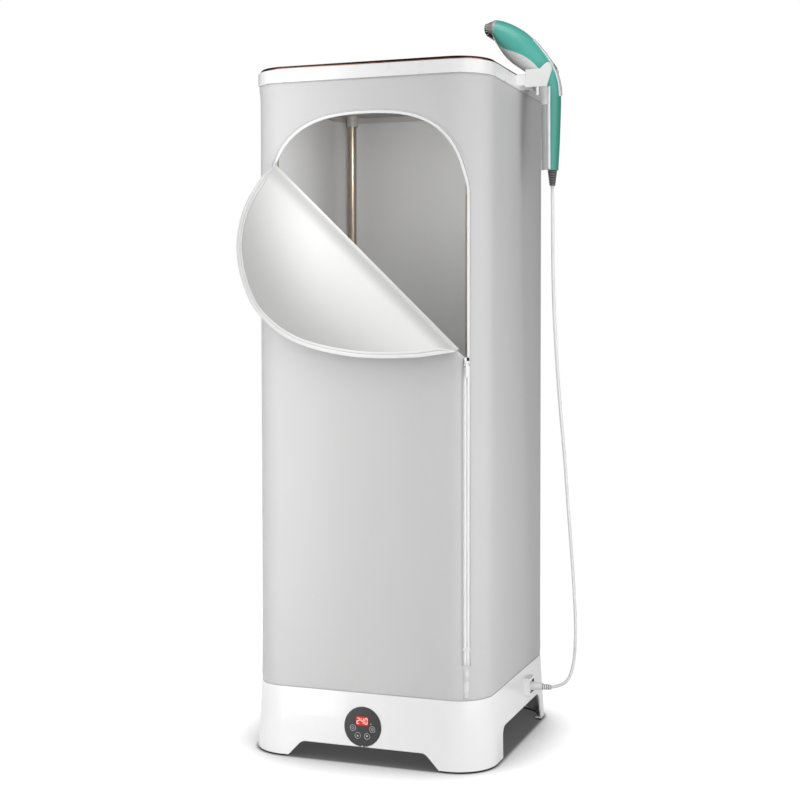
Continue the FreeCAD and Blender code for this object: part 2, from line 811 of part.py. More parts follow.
def lid_liner():
    cloth_in = -CLOTH - CLOTH_GAP / 2
    sheet = plate(cloth_in, liner_z(), RIM_BOTTOM)
    lip = ring(cloth_in, cloth_in - LIP_T, liner_z() - LIP_H, liner_z())
    low = liner_z() - CUP_H
    cups = [pipe(CUP_D / 2, POLE_D / 2 + POLE_FIT, CUP_H, V(x, y, low)) for x, y in four(POLE_X, POLE_Y)]
    liner = joined([sheet, lip] + cups)
    for x, y in four(BOSS_X, POLE_Y / 2):
        liner = liner.cut(rod(SCREW_D / 2, LINER_T, V(x, y, liner_z())))
    return liner


def lid_rim():
    shell = plate(RIM_OUT, RIM_BOTTOM, RIM_TOP).cut(plate(RIM_OUT - RIM_WALL, RIM_BOTTOM, RIM_TOP - RIM_WALL))
    tall = RIM_TOP - RIM_WALL - RIM_BOTTOM
    bosses = [rod(BOSS_D / 2, tall, V(x, y, RIM_BOTTOM)) for x, y in four(BOSS_X, POLE_Y / 2)]
    rim = joined([shell] + bosses)
    for x, y in four(BOSS_X, POLE_Y / 2):
        rim = rim.cut(rod(SCREW_D / 2, SCREW_L, V(x, y, RIM_BOTTOM)))
    for y in (-HOLD_SCREW_Y, HOLD_SCREW_Y):
        rim = rim.cut(rod(SCREW_D / 2, 4 * RIM_WALL, V(rim_x() - 2 * RIM_WALL, y, hold_mid_z()), RIGHT))
    return rim


def lid_top_plate():
    top = plate(RIM_OUT - PLATE_IN, RIM_TOP, RIM_TOP + PLATE_H)
    edges = [e for e in top.Edges if min(v.Z for v in e.Vertexes) > RIM_TOP + PLATE_H - 0.1]
    return top.makeChamfer(PLATE_ROUND, edges)


def lid_trim_ring():
    inner = RIM_OUT - PLATE_IN
    return ring(inner + TRIM_W, inner, RIM_TOP, RIM_TOP + TRIM_H)


def hanging_rail():
    return pipe(RAIL_D / 2, RAIL_D / 2 - 1.5, 2 * RAIL_HALF, V(-RAIL_HALF, 0, RAIL_Z), RIGHT)


def rail_hangers():
    """Two cups under the lid that the ends of the rail sit in."""
    cups = []
    for side in (-1, 1):
        x0 = side * RAIL_HALF - RAIL_HANGER_T / 2 - side * RAIL_HANGER_T / 2
        half = RAIL_HANGER_W / 2
        cup = block(x0, x0 + RAIL_HANGER_T, -half, half, RAIL_Z - half, liner_z())
        cups.append(cup.cut(rod(RAIL_D / 2, RAIL_HANGER_T, V(x0, 0, RAIL_Z), RIGHT)))
    return Part.makeCompound(cups)


def arch(left, right, top, left_r, right_r, y0, y1):
    corners = [(left, ZIP_LOW, 0), (left, top, left_r), (right, top, right_r), (right, ZIP_LOW, 0)]
    return slab(corners, on_xz(y0), V(0, y1 - y0, 0))


def fold_end():
    return V(ZIP_X - ZIP_SLOT / 2, 0, FOLD_B_Z)


def fold_start():
    return V(FOLD_A_X, 0, FOLD_A_Z)


def fold_way():
    way = fold_end() - fold_start()
    return way.normalize()


def above_fold(shift, y0, y1):
    """The half space over the fold line, cut short at a distance that holds the whole mouth."""
    way = fold_way()
    over = V(-way.z, 0, way.x)
    a = fold_start() - way * CAB_W + over * shift
    b = fold_end() + way * CAB_W + over * shift
    far = over * CAB_W
    corners = [(p.x, p.z, 0) for p in (a, b, b + far, a + far)]
    return slab(corners, on_xz(y0), V(0, y1 - y0, 0))


def zip_surface():
    """The point of the cover the zip runs down, without a height, and the way it faces there."""
    turn = math.asin((ZIP_X - CAB_W / 2 + CAB_R) / CAB_R)
    out = V(math.sin(turn), -math.cos(turn), 0)
    return V(CAB_W / 2 - CAB_R, CORNER_Y, 0) + out * CAB_R, out


def zip_frame(z):
    """A frame on the zip line: x across the zip, y up, z out of the cover."""
    at, out = zip_surface()
    across = V(-out.y, out.x, 0)
    turn = FreeCAD.Rotation(across, UP, out, "ZXY")
    return FreeCAD.Placement(at + UP * z, turn)


def at_zip(shape, z):
    moved = shape.copy()
    moved.Placement = zip_frame(z)
    return moved


def mouth(grow, y0, y1):
    right = ZIP_X + ZIP_SLOT / 2 + grow
    return arch(MOUTH_LEFT - grow, right, ARCH_TOP + grow, ARCH_R + grow, ARCH_R + grow, y0, y1)


def cover_shell(grow, thick):
    return ring(grow, grow - thick, BASE_TOP + CLOTH_GAP, RIM_BOTTOM - CLOTH_GAP)


def front_half(shape):
    return shape.common(block(-CAB_W, CAB_W, -CAB_D, CORNER_Y, 0, 2 * RIM_TOP))


def zip_slit(top):
    slit = Part.makeBox(ZIP_SLOT, top - ZIP_LOW, CAB_R, V(-ZIP_SLOT / 2, ZIP_LOW, -CAB_R / 2))
    return at_zip(slit, 0)


def cover_front():
    front = front_half(cover_shell(0, CLOTH))
    opening = mouth(0, -CAB_D, CORNER_Y + 1).common(above_fold(0, -CAB_D, CORNER_Y + 1))
    return front.cut(opening).cut(zip_slit(FOLD_B_Z))


def cover_back():
    turned = front_half(cover_shell(0, CLOTH))
    turned.rotate(V(0, 0, 0), UP, 180)
    return turned


def cover_side(side):
    x0, x1 = sorted((0, side * CAB_W))
    return cover_shell(0, CLOTH).common(block(x0, x1, CORNER_Y, -CORNER_Y, 0, 2 * RIM_TOP))


def tape_skin():
    return front_half(cover_shell(ZIP_TAPE_T, ZIP_TAPE_T))


def zip_tape_frame():
    """The half of the zip that stays on the cover, from the end of the fold down to the lower stop."""
    band = mouth(ZIP_TAPE, -CAB_D, 0).cut(mouth(0, -CAB_D, 0))
    over = band.common(above_fold(0, -CAB_D, 0))
    side = block(0, CAB_W, -CAB_D, 0, ZIP_LOW, ARCH_TOP - ARCH_R)
    return tape_skin().common(joined([over, band.common(side)])).cut(zip_slit(ARCH_TOP - ARCH_R))


def zip_tape_low():
    """The other half below the slider, where the zip is shut."""
    x1 = ZIP_X
    side = block(x1 - ZIP_TAPE, x1, -CAB_D, 0, ZIP_LOW, FOLD_B_Z - SLIDER_H)
    return tape_skin().common(side).cut(zip_slit(FOLD_B_Z))


def zip_tail():
    low = block(ZIP_X - ZIP_TAPE, ZIP_X + ZIP_TAPE, -CAB_D, 0, ZIP_TAIL, ZIP_LOW - STOP_H)
    return tape_skin().common(low)


def zip_stops():
    low = Part.makeBox(STOP_W, STOP_H, STOP_T, V(-STOP_W / 2, -STOP_H, 0))
    low = at_zip(low, ZIP_LOW).cut(plate(0, 0, RIM_TOP))
    top = Part.makeBox(STOP_H, STOP_T, STOP_H, V(FOLD_A_X - STOP_H, FRONT_Y - STOP_T, FOLD_A_Z - STOP_H))
    return Part.makeCompound([low, top.cut(plate(0, 0, RIM_TOP))])


def flap_outline(inset, y0, y1):
    left = FLAP_LEFT + inset
    right = FLAP_RIGHT - inset
    shape = arch(left, right, FLAP_TOP - inset, FLAP_R_SHORT - inset, FLAP_R_LONG - inset, y0, y1)
    return shape.common(mouth(-FLAP_IN - inset, y0, y1)).common(above_fold(0, y0, y1))


def flap_sheet(depth0, depth1, sideways):
    """A bowed sheet hung on the fold line, shut: depths are measured inward from its own plane."""
    way = fold_way()
    over = V(-way.z, 0, way.x)
    far = ARCH_TOP - FOLD_B_Z
    start = fold_start() - way * sideways

    def spot(h, depth):
        return start + over * h + V(0, FRONT_Y - FLAP_STAND + depth, 0)

    edges = [
        Part.Arc(spot(0, depth0), spot(far / 2, depth0 + FLAP_SAG), spot(far, depth0)).toShape(),
        Part.LineSegment(spot(far, depth0), spot(far, depth1)).toShape(),
        Part.Arc(spot(far, depth1), spot(far / 2, depth1 + FLAP_SAG), spot(0, depth1)).toShape(),
        Part.LineSegment(spot(0, depth1), spot(0, depth0)).toShape(),
    ]
    length = (fold_end() - fold_start()).Length + 2 * sideways
    return Part.Face(Part.Wire(edges)).extrude(way * length)


def fold_axis():
    return fold_start() + V(0, FRONT_Y - FLAP_STAND - ROLL_R, 0)


def folded_open(shape):
    turned = shape.copy()
    turned.rotate(fold_axis(), fold_way(), 180)
    return turned


def flap_panel():
    sheet = flap_sheet(-FLAP_T / 2, FLAP_T / 2, CAB_W / 2).common(flap_outline(0, -CAB_D, 0))
    way = fold_way()
    over = V(-way.z, 0, way.x)
    length = (fold_end() - fold_start()).Length - 2 * FLAP_END
    start = fold_axis() + way * FLAP_END
    roll = pipe(ROLL_R + FLAP_T / 2, ROLL_R - FLAP_T / 2, length, start, way)
    half = Part.makeBox(4 * ROLL_R, 4 * ROLL_R, length)
    turn = FreeCAD.Rotation(over, -BACK, way, "ZXY")
    half.Placement = FreeCAD.Placement(start + BACK * (2 * ROLL_R), turn)
    roll = roll.common(half)
    sheet = folded_open(sheet)
    return joined([sheet, roll])


def flap_edge():
    """Double tape sewn round the free edge, on the face that shows when the flap is open."""
    band = flap_outline(0, -CAB_D, 0).cut(flap_outline(FLAP_EDGE, -CAB_D, 0))
    band = band.common(above_fold(FLAP_EDGE / 3, -CAB_D, 0))
    sheet = flap_sheet(FLAP_T / 2, FLAP_T / 2 + FLAP_EDGE_T, CAB_W / 2)
    return folded_open(sheet.common(band))


def zip_slider():
    half = SLIDER_W / 2
    out = ZIP_TAPE_T + SLIDER_CLEAR
    back = -CLOTH - SLIDER_CLEAR - SLIDER_T
    front_plate = Part.makeBox(SLIDER_W, SLIDER_H, SLIDER_T, V(-half, -SLIDER_H / 2, out))
    front_plate = front_plate.makeFillet(3, [e for e in front_plate.Edges if abs(e.tangentAt(0).z) > 0.9])
    back_plate = Part.makeBox(SLIDER_W, SLIDER_H, SLIDER_T, V(-half, -SLIDER_H / 2, back))
    keel = Part.makeBox(KEEL_W, KEEL_H, out - back, V(-KEEL_W / 2, -KEEL_H / 2, back))
    parts = [front_plate, back_plate, keel]
    for side in (-1, 1):
        x = side * (half - LUG_T / 2) - LUG_T / 2
        parts.append(Part.makeBox(LUG_T, LUG_H, LUG_H, V(x, -LUG_H / 2, out + SLIDER_T)))
    parts.append(rod(PIN_D / 2, SLIDER_W - LUG_T, V(-half + LUG_T / 2, 0, pin_out()), RIGHT))
    return at_zip(joined(parts), SLIDER_Z)


def pin_out():
    return ZIP_TAPE_T + SLIDER_CLEAR + SLIDER_T + LUG_H / 2


def zip_pull_tab():
    eye = rod(EYE_D / 2, TAB_W, V(-TAB_W / 2, 0, pin_out()), RIGHT)
    tab = Part.makeBox(TAB_W, TAB_L, TAB_T, V(-TAB_W / 2, -TAB_L, pin_out() - TAB_T / 2))
    ends = [e for e in tab.Edges if abs(e.tangentAt(0).z) > 0.9 and e.Vertexes[0].Y < -TAB_L / 2]
    tab = tab.makeFillet(TAB_W / 2 - 0.2, ends)
    bore = rod(PIN_D / 2 + PIN_FIT, 2 * TAB_W, V(-TAB_W, 0, pin_out()), RIGHT)
    return at_zip(joined([eye, tab]).cut(bore), SLIDER_Z)


def rim_x():
    return CAB_W / 2 + RIM_OUT


def hold_mid_z():
    return (HOLD_Z0 + RIM_TOP) / 2 - 2


def holder_clip():
    clip = block(rim_x(), rim_x() + HOLD_OUT, -HOLD_HALF, HOLD_HALF, HOLD_Z0, HOLD_Z1)
    uprights = [e for e in clip.Edges if abs(e.tangentAt(0).z) > 0.9 and e.Vertexes[0].X > rim_x() + 1]
    clip = clip.makeFillet(2, uprights)
    for y in (-HOLD_SCREW_Y, HOLD_SCREW_Y):
        clip = clip.cut(rod(SCREW_D / 2, 2 * HOLD_OUT, V(rim_x() - 1, y, hold_mid_z()), RIGHT))
    return clip


def holder_fork():
    """A back plate with two arms that reach past the handle and turn up at their tips."""
    x0 = rim_x() + HOLD_OUT
    back = block(x0, x0 + FORK_BACK_T, -HOLD_HALF, HOLD_HALF, FORK_Z0, FORK_BACK_Z1)
    for y in (-HOLD_SCREW_Y, HOLD_SCREW_Y):
        back = back.cut(rod(SCREW_D / 2, 4 * FORK_BACK_T, V(x0 - 1, y, hold_mid_z()), RIGHT))
    elbow = x0 + FORK_REACH
    tip = elbow + FORK_TIP
    outline = [
        (x0 + FORK_SINK, FORK_Z0, 0),
        (elbow + FORK_HEEL, FORK_Z0, 4),
        (tip, FORK_TIP_Z - FORK_HEEL, 8),
        (tip - FORK_NOSE, FORK_TIP_Z, 5),
        (elbow + FORK_HEEL, FORK_TIP_Z, 6),
        (elbow - FORK_RISE, FORK_Z1, 8),
        (x0 + FORK_SINK, FORK_Z1, 0),
    ]
    parts = [back]
    for side in (-1, 1):
        y0 = side * (HOLD_HALF - FORK_ARM_T / 2) - FORK_ARM_T / 2
        parts.append(slab(outline, on_xz(y0), V(0, FORK_ARM_T, 0)))
        peg = V(elbow - PEG_IN, side * (HOLD_HALF - FORK_ARM_T / 2), FORK_Z0 - PEG_L)
        parts.append(rod(PEG_D / 2 - 1, PEG_L, peg))
    return joined(parts)


def holder_screws():
    screws = []
    head_x = rim_x() + HOLD_OUT + FORK_BACK_T
    length = HOLD_OUT + FORK_BACK_T + RIM_WALL
    for y in (-HOLD_SCREW_Y, HOLD_SCREW_Y):
        head = rod(SCREW_HEAD_D / 2, SCREW_HEAD_H, V(head_x, y, hold_mid_z()), RIGHT)
        screws.append(joined([head, rod(SCREW_D / 2, length, V(head_x - length, y, hold_mid_z()), RIGHT)]))
    return Part.makeCompound(screws)


def oval_x(x, z, half_z, half_y):
    """An upright oval that faces sideways, for the brush on the head."""
    at = V(x, 0, z)
    return Part.Wire([Part.Ellipse(at + BACK * half_y, at + UP * half_z, at).toShape()])


def section_frame(i):
    """Middle of one section of the steamer, its half thickness as a vector, and its half width."""
    ox, oz, ix, iz, wide = SECTIONS[i]
    outer = V(SIDE_X + ox, 0, RIM_TOP + oz)
    inner = V(SIDE_X + ix, 0, RIM_TOP + iz)
    return (outer + inner) * 0.5, (outer - inner) * 0.5, BACK * wide


def steamer_body():
    """The whole steamer outline as one smooth body."""
    wires = []
    for i in range(len(SECTIONS)):
        at, a, b = section_frame(i)
        spots = []
        for k in range(SPOTS):
            turn = 2 * math.pi * k / SPOTS
            spots.append(at + a * math.cos(turn) + b * math.sin(turn))
        curve = Part.BSplineCurve()
        curve.interpolate(Points=spots, PeriodicFlag=True)
        wires.append(Part.Wire([curve.toShape()]))
    return Part.makeLoft(wires, True, False)


def steamer_hollow():
    """Room inside: a bore up the handle, a slanting bore into the head and a cup behind the mouth."""
    low = section_frame(0)[0] + UP * SHELL_T
    bend = section_frame(5)[0]
    head = section_frame(9)[0]
    bore = rod(BORE_D / 2, bend.z - low.z, V(bend.x, 0, low.z))
    slope = head - bend
    neck = rod(BORE_D / 2, slope.Length, bend, slope)
    cup = Part.makeSphere(CUP_R, head)
    return joined([bore, neck, cup])


def seam():
    """Everything on the inner, lower side of the line where the two shells meet."""
    curve = Part.BSplineCurve()
    curve.interpolate([V(SIDE_X + x, -CAB_R, RIM_TOP + z) for x, z in SEAM])
    start = curve.StartPoint
    last = curve.EndPoint
    first = V(start.x, start.y, RIM_BOTTOM - CAB_W)
    low = V(0, start.y, first.z)
    high = V(0, start.y, last.z)
    edges = [
        Part.LineSegment(first, start).toShape(),
        curve.toShape(),
        Part.LineSegment(last, high).toShape(),
        Part.LineSegment(high, low).toShape(),
        Part.LineSegment(low, first).toShape(),
    ]
    return Part.Face(Part.Wire(edges)).extrude(V(0, 2 * CAB_R, 0))


def outer_line():
    """Points along the outer edge of the steamer, from the handle over the back of the head."""
    return [V(SIDE_X + s[0], 0, RIM_TOP + s[1]) for s in SECTIONS[4:9]]


def switch_frame():
    """Where the thumb switch sits: x along the steamer, z straight out of its back."""
    at, out, wide = section_frame(SWITCH_AT)
    top = at + out + V(STRIP_T, 0, 0)
    out.normalize()
    along = V(-out.z, 0, out.x)
    return FreeCAD.Placement(top, FreeCAD.Rotation(along, out.cross(along), out, "ZXY"))


def switch_block(grow, proud, deep):
    length = SWITCH_L + 2 * grow
    width = SWITCH_W + 2 * grow
    shape = Part.makeBox(length, width, proud + deep, V(-length / 2, -width / 2, -deep))
    shape.Placement = switch_frame()
    return shape


def thumb_switch():
    return switch_block(0, SWITCH_PROUD - 1, SWITCH_DEEP)


def steamer_pieces():
    body = steamer_body()
    shell = body.cut(steamer_hollow())
    inner_side = seam()
    bottom = section_frame(0)[0].z
    relief_hole = rod(CORD_D / 2 + 1, 4 * SHELL_T, V(RELIEF_X, 0, bottom - SHELL_T))
    hole = switch_block(SWITCH_FIT, SWITCH_PROUD, 2 * SWITCH_DEEP)
    teal = shell.cut(inner_side).cut(hole).cut(relief_hole)
    tank_room = block(0, SIDE_X + SEAM_X, -CAB_R, CAB_R, TANK_Z0, TANK_Z1)
    pale = shell.common(inner_side).cut(relief_hole)
    grip = pale.common(block(0, CAB_W, -CAB_R, CAB_R, 0, TANK_Z0))
    chin = pale.common(block(0, CAB_W, -CAB_R, CAB_R, TANK_Z1, 2 * RIM_TOP))
    tank = pale.common(tank_room)
    outer = [p + V(STRIP_T, 0, STRIP_T * 0.6) for p in outer_line()]
    inner = [p - V(4 * STRIP_T, 0, 3 * STRIP_T) for p in outer_line()]
    edge = Part.BSplineCurve()
    edge.interpolate([p - V(0, STRIP_W / 2, 0) for p in outer])
    under = Part.BSplineCurve()
    under.interpolate([p - V(0, STRIP_W / 2, 0) for p in reversed(inner)])
    edges = [
        edge.toShape(),
        Part.LineSegment(edge.EndPoint, under.StartPoint).toShape(),
        under.toShape(),
        Part.LineSegment(under.EndPoint, edge.StartPoint).toShape(),
    ]
    strip = Part.Face(Part.Wire(edges)).extrude(V(0, STRIP_W, 0)).cut(body).cut(hole)
    return teal, chin, grip, tank, strip


def brush_frame():
    seat = section_frame(-1)[0]
    base = oval_x(seat.x, seat.z, BRUSH_BASE_A, BRUSH_BASE_B)
    tip = oval_x(seat.x - BRUSH_L, seat.z + BRUSH_TIP_UP, BRUSH_TIP_A, BRUSH_TIP_B)
    return Part.makeLoft([base, tip], True).cut(brush_well(BRUSH_L + 1))


def brush_well(length):
    """The oval hollow of the brush frame, from its seat on the head outward."""
    seat = section_frame(-1)[0]
    inner = oval_x(seat.x, seat.z + BRUSH_TIP_UP, BRUSH_TIP_A - BRUSH_T / 2, BRUSH_TIP_B - BRUSH_T)
    return Part.Face(inner).extrude(V(-length, 0, 0))


def steam_plate():
    return brush_well(BRUSH_L - STEAM_PLATE_BACK)


def steam_heater():
    """A round block in the cup of the head, with a stem through the front wall to the steam plate."""
    head = section_frame(9)[0]
    way = section_frame(-1)[0] + UP * BRUSH_TIP_UP - head
    way.normalize()
    body = rod(STEAM_HEATER_D / 2, 2 * CUP_R - 2 * STEAM_HEATER_IN, head - way * (CUP_R - STEAM_HEATER_IN), way)
    return body.common(Part.makeSphere(CUP_R, head))


def relief_top():
    return V(RELIEF_X, 0, section_frame(0)[0].z)


def cord_relief():
    top = relief_top()
    cone = Part.makeCone(RELIEF_TOP_R, RELIEF_LOW_R, RELIEF_L, top, V(0, 0, -1))
    for i in range(RELIEF_RIBS):
        z = top.z - RELIEF_L * (i + 1) / (RELIEF_RIBS + 1)
        cone = cone.cut(pipe(2 * RELIEF_TOP_R, RELIEF_LOW_R - 1, 1.6, V(top.x, 0, z)))
    return cone.cut(rod(CORD_D / 2 + FIT, RELIEF_L / 2, top - UP * RELIEF_L))


def plug_axis(x):
    return V(x, SOCKET_Y, SOCKET_Z)


def plug_x():
    return socket_face_x() - SOCKET_DEEP


def plug_end():
    return plug_x() + PLUG_FLANGE_T + PLUG_BODY_L + PLUG_RELIEF_L


def steamer_plug():
    x0 = plug_x()
    flange = rod(PLUG_FLANGE_D / 2, PLUG_FLANGE_T, plug_axis(x0), RIGHT)
    body = Part.makeCone(PLUG_BODY_R0, PLUG_BODY_R1, PLUG_BODY_L, plug_axis(x0 + PLUG_FLANGE_T), RIGHT)
    prongs = []
    for side in (-1, 1):
        at = plug_axis(x0 - 18) + V(0, side * PIN_PLUG_GAP / 2, 0)
        prongs.append(rod(PIN_PLUG_D / 2, 19, at, RIGHT))
    return joined([flange, body] + prongs)


def plug_relief():
    x0 = plug_x() + PLUG_FLANGE_T + PLUG_BODY_L
    cone = Part.makeCone(PLUG_RELIEF_R, PLUG_RELIEF_END_R, PLUG_RELIEF_L, plug_axis(x0), RIGHT)
    for i in range(RELIEF_RIBS):
        x = x0 + PLUG_RELIEF_L * (i + 1) / (RELIEF_RIBS + 1)
        cone = cone.cut(pipe(2 * PLUG_RELIEF_R, PLUG_RELIEF_END_R - 0.6, 1.4, plug_axis(x), RIGHT))
    return cone.cut(rod(CORD_D / 2 + CORD_ROOM, PLUG_RELIEF_L / 2, plug_axis(x0 + PLUG_RELIEF_L / 2), RIGHT))


def cord_points():
    top = relief_top() - UP * (RELIEF_L - 2)
    return [top] + [V(SIDE_X + x, y, z) for x, y, z in CORD_MID] + [plug_axis(plug_end() - 2)]


def steamer_cord():
    """Straight runs joined by tangent arcs, swept by the round of the cord."""
    points = cord_points()
    edges = []
    last = points[0]
    for i in range(1, len(points) - 1):
        before = points[i - 1] - points[i]
        after = points[i + 1] - points[i]
        half = before.getAngle(after) / 2
        reach = 0.45 * min(before.Length, after.Length)
        radius = reach * math.tan(half)
        before.normalize()
        after.normalize()
        first = points[i] + before * reach
        final = points[i] + after * reach
        middle = before + after
        middle.normalize()
        bulge = points[i] + middle * (radius / math.sin(half) - radius)
        edges.append(Part.LineSegment(last, first).toShape())
        edges.append(Part.Arc(first, bulge, final).toShape())
        print("cord bend", i, "radius", round(radius, 1))
        last = final
    edges.append(Part.LineSegment(last, points[-1]).toShape())
    length = sum(e.Length for e in edges)
    start = points[1] - points[0]
    round_face = Part.Wire([Part.Circle(points[0], start, CORD_D / 2).toShape()])
    tube = Part.Wire(edges).makePipeShell([round_face], True, False)
    share = tube.Volume / (math.pi * CORD_D ** 2 / 4 * length)
    print("cord length", round(length, 1), "volume share", round(share, 4))
    return tube


teal_shell, pale_head, pale_grip, water_tank, spine_strip = steamer_pieces()

PIECES = {
    "base_housing": base_housing(),
    "base_deck": base_deck(),
    "bottom_pan": bottom_pan(),
    "rubber_feet": rubber_feet(),
    "case_screws": case_screws(),
    "control_panel": control_panel(),
    "display_window": display_window(),
    "touch_keys": touch_keys(),
    "control_board": control_board(),
    "power_board": power_board(),
    "power_parts": power_parts(),
    "side_socket": side_socket(),
    "socket_insert": socket_insert(),
    "mains_gland": mains_gland(),
    "fan_duct": fan_duct(),
    "motor_bracket": motor_bracket(),
    "fan_motor": fan_motor(),
    "fan_shaft": fan_shaft(),
    "fan_impeller": fan_impeller(),
    "ptc_heater": ptc_heater(),
    "thermal_cutout": thermal_cutout(),
    "outlet_grille": outlet_grille(),
    "poles_lower": pole_run(0),
    "poles_upper": pole_run(1),
    "pole_couplers": pole_couplers(),
    "hanging_rail": hanging_rail(),
    "rail_hangers": rail_hangers(),
    "lid_liner": lid_liner(),
    "lid_rim": lid_rim(),
    "lid_trim_ring": lid_trim_ring(),
    "lid_top_plate": lid_top_plate(),
    "cover_front": cover_front(),
    "cover_back": cover_back(),
    "cover_left": cover_side(-1),
    "cover_right": cover_side(1),
    "zip_tape_frame": zip_tape_frame(),
    "zip_tape_low": zip_tape_low(),
    "zip_tail": zip_tail(),
    "zip_stops": zip_stops(),
    "flap_panel": flap_panel(),
    "flap_edge": flap_edge(),
    "zip_slider": zip_slider(),
    "zip_pull_tab": zip_pull_tab(),
    "holder_clip": holder_clip(),
    "holder_fork": holder_fork(),
    "holder_screws": holder_screws(),
    "steamer_teal_shell": teal_shell,
    "steamer_pale_head": pale_head,
    "steamer_pale_grip": pale_grip,
    "steamer_water_tank": water_tank,
    "steamer_spine_strip": spine_strip,
    "brush_frame": brush_frame(),
    "steam_plate": steam_plate(),
    "steam_heater": steam_heater(),
    "thumb_switch": thumb_switch(),
    "cord_relief": cord_relief(),
    "steamer_cord": steamer_cord(),
    "steamer_plug": steamer_plug(),
    "plug_relief": plug_relief(),
}

os.makedirs("parts", exist_ok=True)
for name, shape in PIECES.items():
    shape.exportStep("parts/" + name + ".step")
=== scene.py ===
import math

import bmesh
import bpy
from mathutils import Matrix, Vector


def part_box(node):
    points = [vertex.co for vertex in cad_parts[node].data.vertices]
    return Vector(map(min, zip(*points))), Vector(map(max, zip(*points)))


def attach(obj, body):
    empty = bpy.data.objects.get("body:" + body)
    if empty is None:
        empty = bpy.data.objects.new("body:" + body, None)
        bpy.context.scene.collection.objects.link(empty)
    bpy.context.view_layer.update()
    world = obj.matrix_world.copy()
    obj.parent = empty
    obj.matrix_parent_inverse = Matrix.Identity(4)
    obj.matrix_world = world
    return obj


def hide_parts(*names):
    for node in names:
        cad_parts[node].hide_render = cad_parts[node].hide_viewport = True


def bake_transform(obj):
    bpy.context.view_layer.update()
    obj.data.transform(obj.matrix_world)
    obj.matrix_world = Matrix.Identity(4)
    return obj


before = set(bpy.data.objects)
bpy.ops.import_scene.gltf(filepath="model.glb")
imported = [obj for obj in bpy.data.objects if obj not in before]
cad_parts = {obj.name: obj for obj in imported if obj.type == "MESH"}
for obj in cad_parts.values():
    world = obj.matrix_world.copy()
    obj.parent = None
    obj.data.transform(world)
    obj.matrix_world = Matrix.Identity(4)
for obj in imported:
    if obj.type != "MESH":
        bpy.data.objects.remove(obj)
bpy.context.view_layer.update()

# Image size and the camera that matches the photograph, in metres and degrees
IMAGE = 800
FOCAL_PX = 1418.2
CENTRE_X_PX = 430.2
CENTRE_Y_PX = 361.7
SENSOR_MM = 36.0
CAMERA_AT = (1.2077, -3.2988, 1.0151)
CAMERA_YAW = 19.142
CAMERA_PITCH = 1.6

# Cover, taken from the frame
COVER_LO, COVER_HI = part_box("cover_front")
HALF = COVER_HI[0]
FRONT_Y = COVER_LO[1]
CORNER_R = COVER_HI[1] - COVER_LO[1]
FLAT = HALF - CORNER_R
COVER_LOW = COVER_LO[2]
COVER_TOP = COVER_HI[2]
CLOTH_T = 0.0014
WALL_STEPS = 26
CORNER_STEPS = 14
COVER_ROWS = 70
FLARE_OUT = 0.0028
FLARE_H = 0.030
FLARE_ROWS = 5
TUCK_IN = 0.0016
TUCK_H = 0.012
TUCK_ROWS = 3
CUT_ROOM = 0.03
TOUCH = 1e-6

# Slight waves of the cover's cloth, round it and up it
WOBBLE = 0.00035
WOBBLE_HELD = 0.12
WAVES_FAST = 11
WAVES_SLOW = 6
WAVE_SHIFT = 1.3
WAVE_UP = 4.1
WAVE_LEAN = 2.2
SLOW_SHARE = 0.6

# Mouth and zip on the front, across and up
MOUTH_LEFT = -0.2365
MOUTH_RIGHT = 0.2457
MOUTH_CORNER = 0.011
ARCH_TOP = 1.4895
ARCH_LEFT = 0.263
ARCH_RIGHT = 0.260
ARCH_POWER = 3.0
ARCH_CLEAR = 0.02
ARC_STEPS = 24
ZIP_X = 0.245
ZIP_SLOT = 0.0014
ZIP_TOP = 1.296
ZIP_EASE = 0.055
ZIP_FOOT = 0.242
ZIP_STEPS = 40
TAIL_FOOT = 0.168
TAIL_STEPS = 24
SLIDER_Z = 0.926
SLIDER_GAP = 0.012
STOP_SPLIT = 0.9

# Tapes: widths, heights over the cloth and the parts of their profiles
ZIP_LOW_TAPE = 0.005
ZIP_TAPE = 0.0062
ZIP_HEM = 0.0040
ZIP_H = 0.0013
TAPE_SINK = 0.0004
TAPE_LIP = 0.0006
TAPE_SOFT = 0.0007
BINDING_OVER = 0.0004
BINDING_SOFT = 0.0005
BINDING_TIP = 3
BINDING_BACK = 0.0008
GROOVE_SHARE = 0.62
GROOVE_HALF = 0.0009
GROOVE_DEEP = 0.0008
THREAD_HALF = 0.0007
THREAD_TOP = 0.0004
THREAD_H = 0.0005
HEM_H = 0.0005
HEM_EDGE = 0.0003
TAIL_H = 0.0008
TAIL_EDGE = 0.0005
TAIL_SINK = 0.0003
TOOTH_PITCH = 0.0034
TOOTH_SHARE = 0.55
TOOTH_W = 0.0017
TOOTH_H = 0.0016
TOOTH_IN = 0.0010
TOOTH_ROUND = 0.0002

# Flap: its fold on the front, and its free edge along and away from the fold
FOLD_A = Vector((-0.214, 1.368))
FOLD_B = Vector((0.244, 0.932))
FOLD_WAY = (FOLD_B - FOLD_A).normalized()
FOLD_OVER = Vector((-FOLD_WAY.y, FOLD_WAY.x))
FLAP_RIM = (
    (-0.006, 0.0), (-0.009, 0.032), (0.009, 0.113), (0.056, 0.187), (0.130, 0.241),
    (0.213, 0.265), (0.318, 0.248), (0.438, 0.177), (0.543, 0.080), (0.608, 0.0),
)
FLAP_FAR = 0.556
FLAP_STAND = 0.0011
FLAP_SAG = 0.016
FLAP_T = 0.0016
FLAP_EDGE = 0.014
FLAP_COLUMNS = 72
FLAP_ROWS = 26
CURVE_STEPS = 24
ROLL_R = 0.009
ROLL_STEPS = 10
# Painted light and shade on the flap: how far from the fold its ramp runs, where its painted highlight
# lies, and where the painted shade to the left starts and ends
FLAP_SHADE_H = 0.25
FLAP_PAINTED_HIGHLIGHT = 0.12
FLAP_PAINTED_SHADE_X = -0.36
FLAP_SHADE_END_X = -0.09
# Where the painted shade on the flap's binding ends
BINDING_SHADE_END_X = 0.0

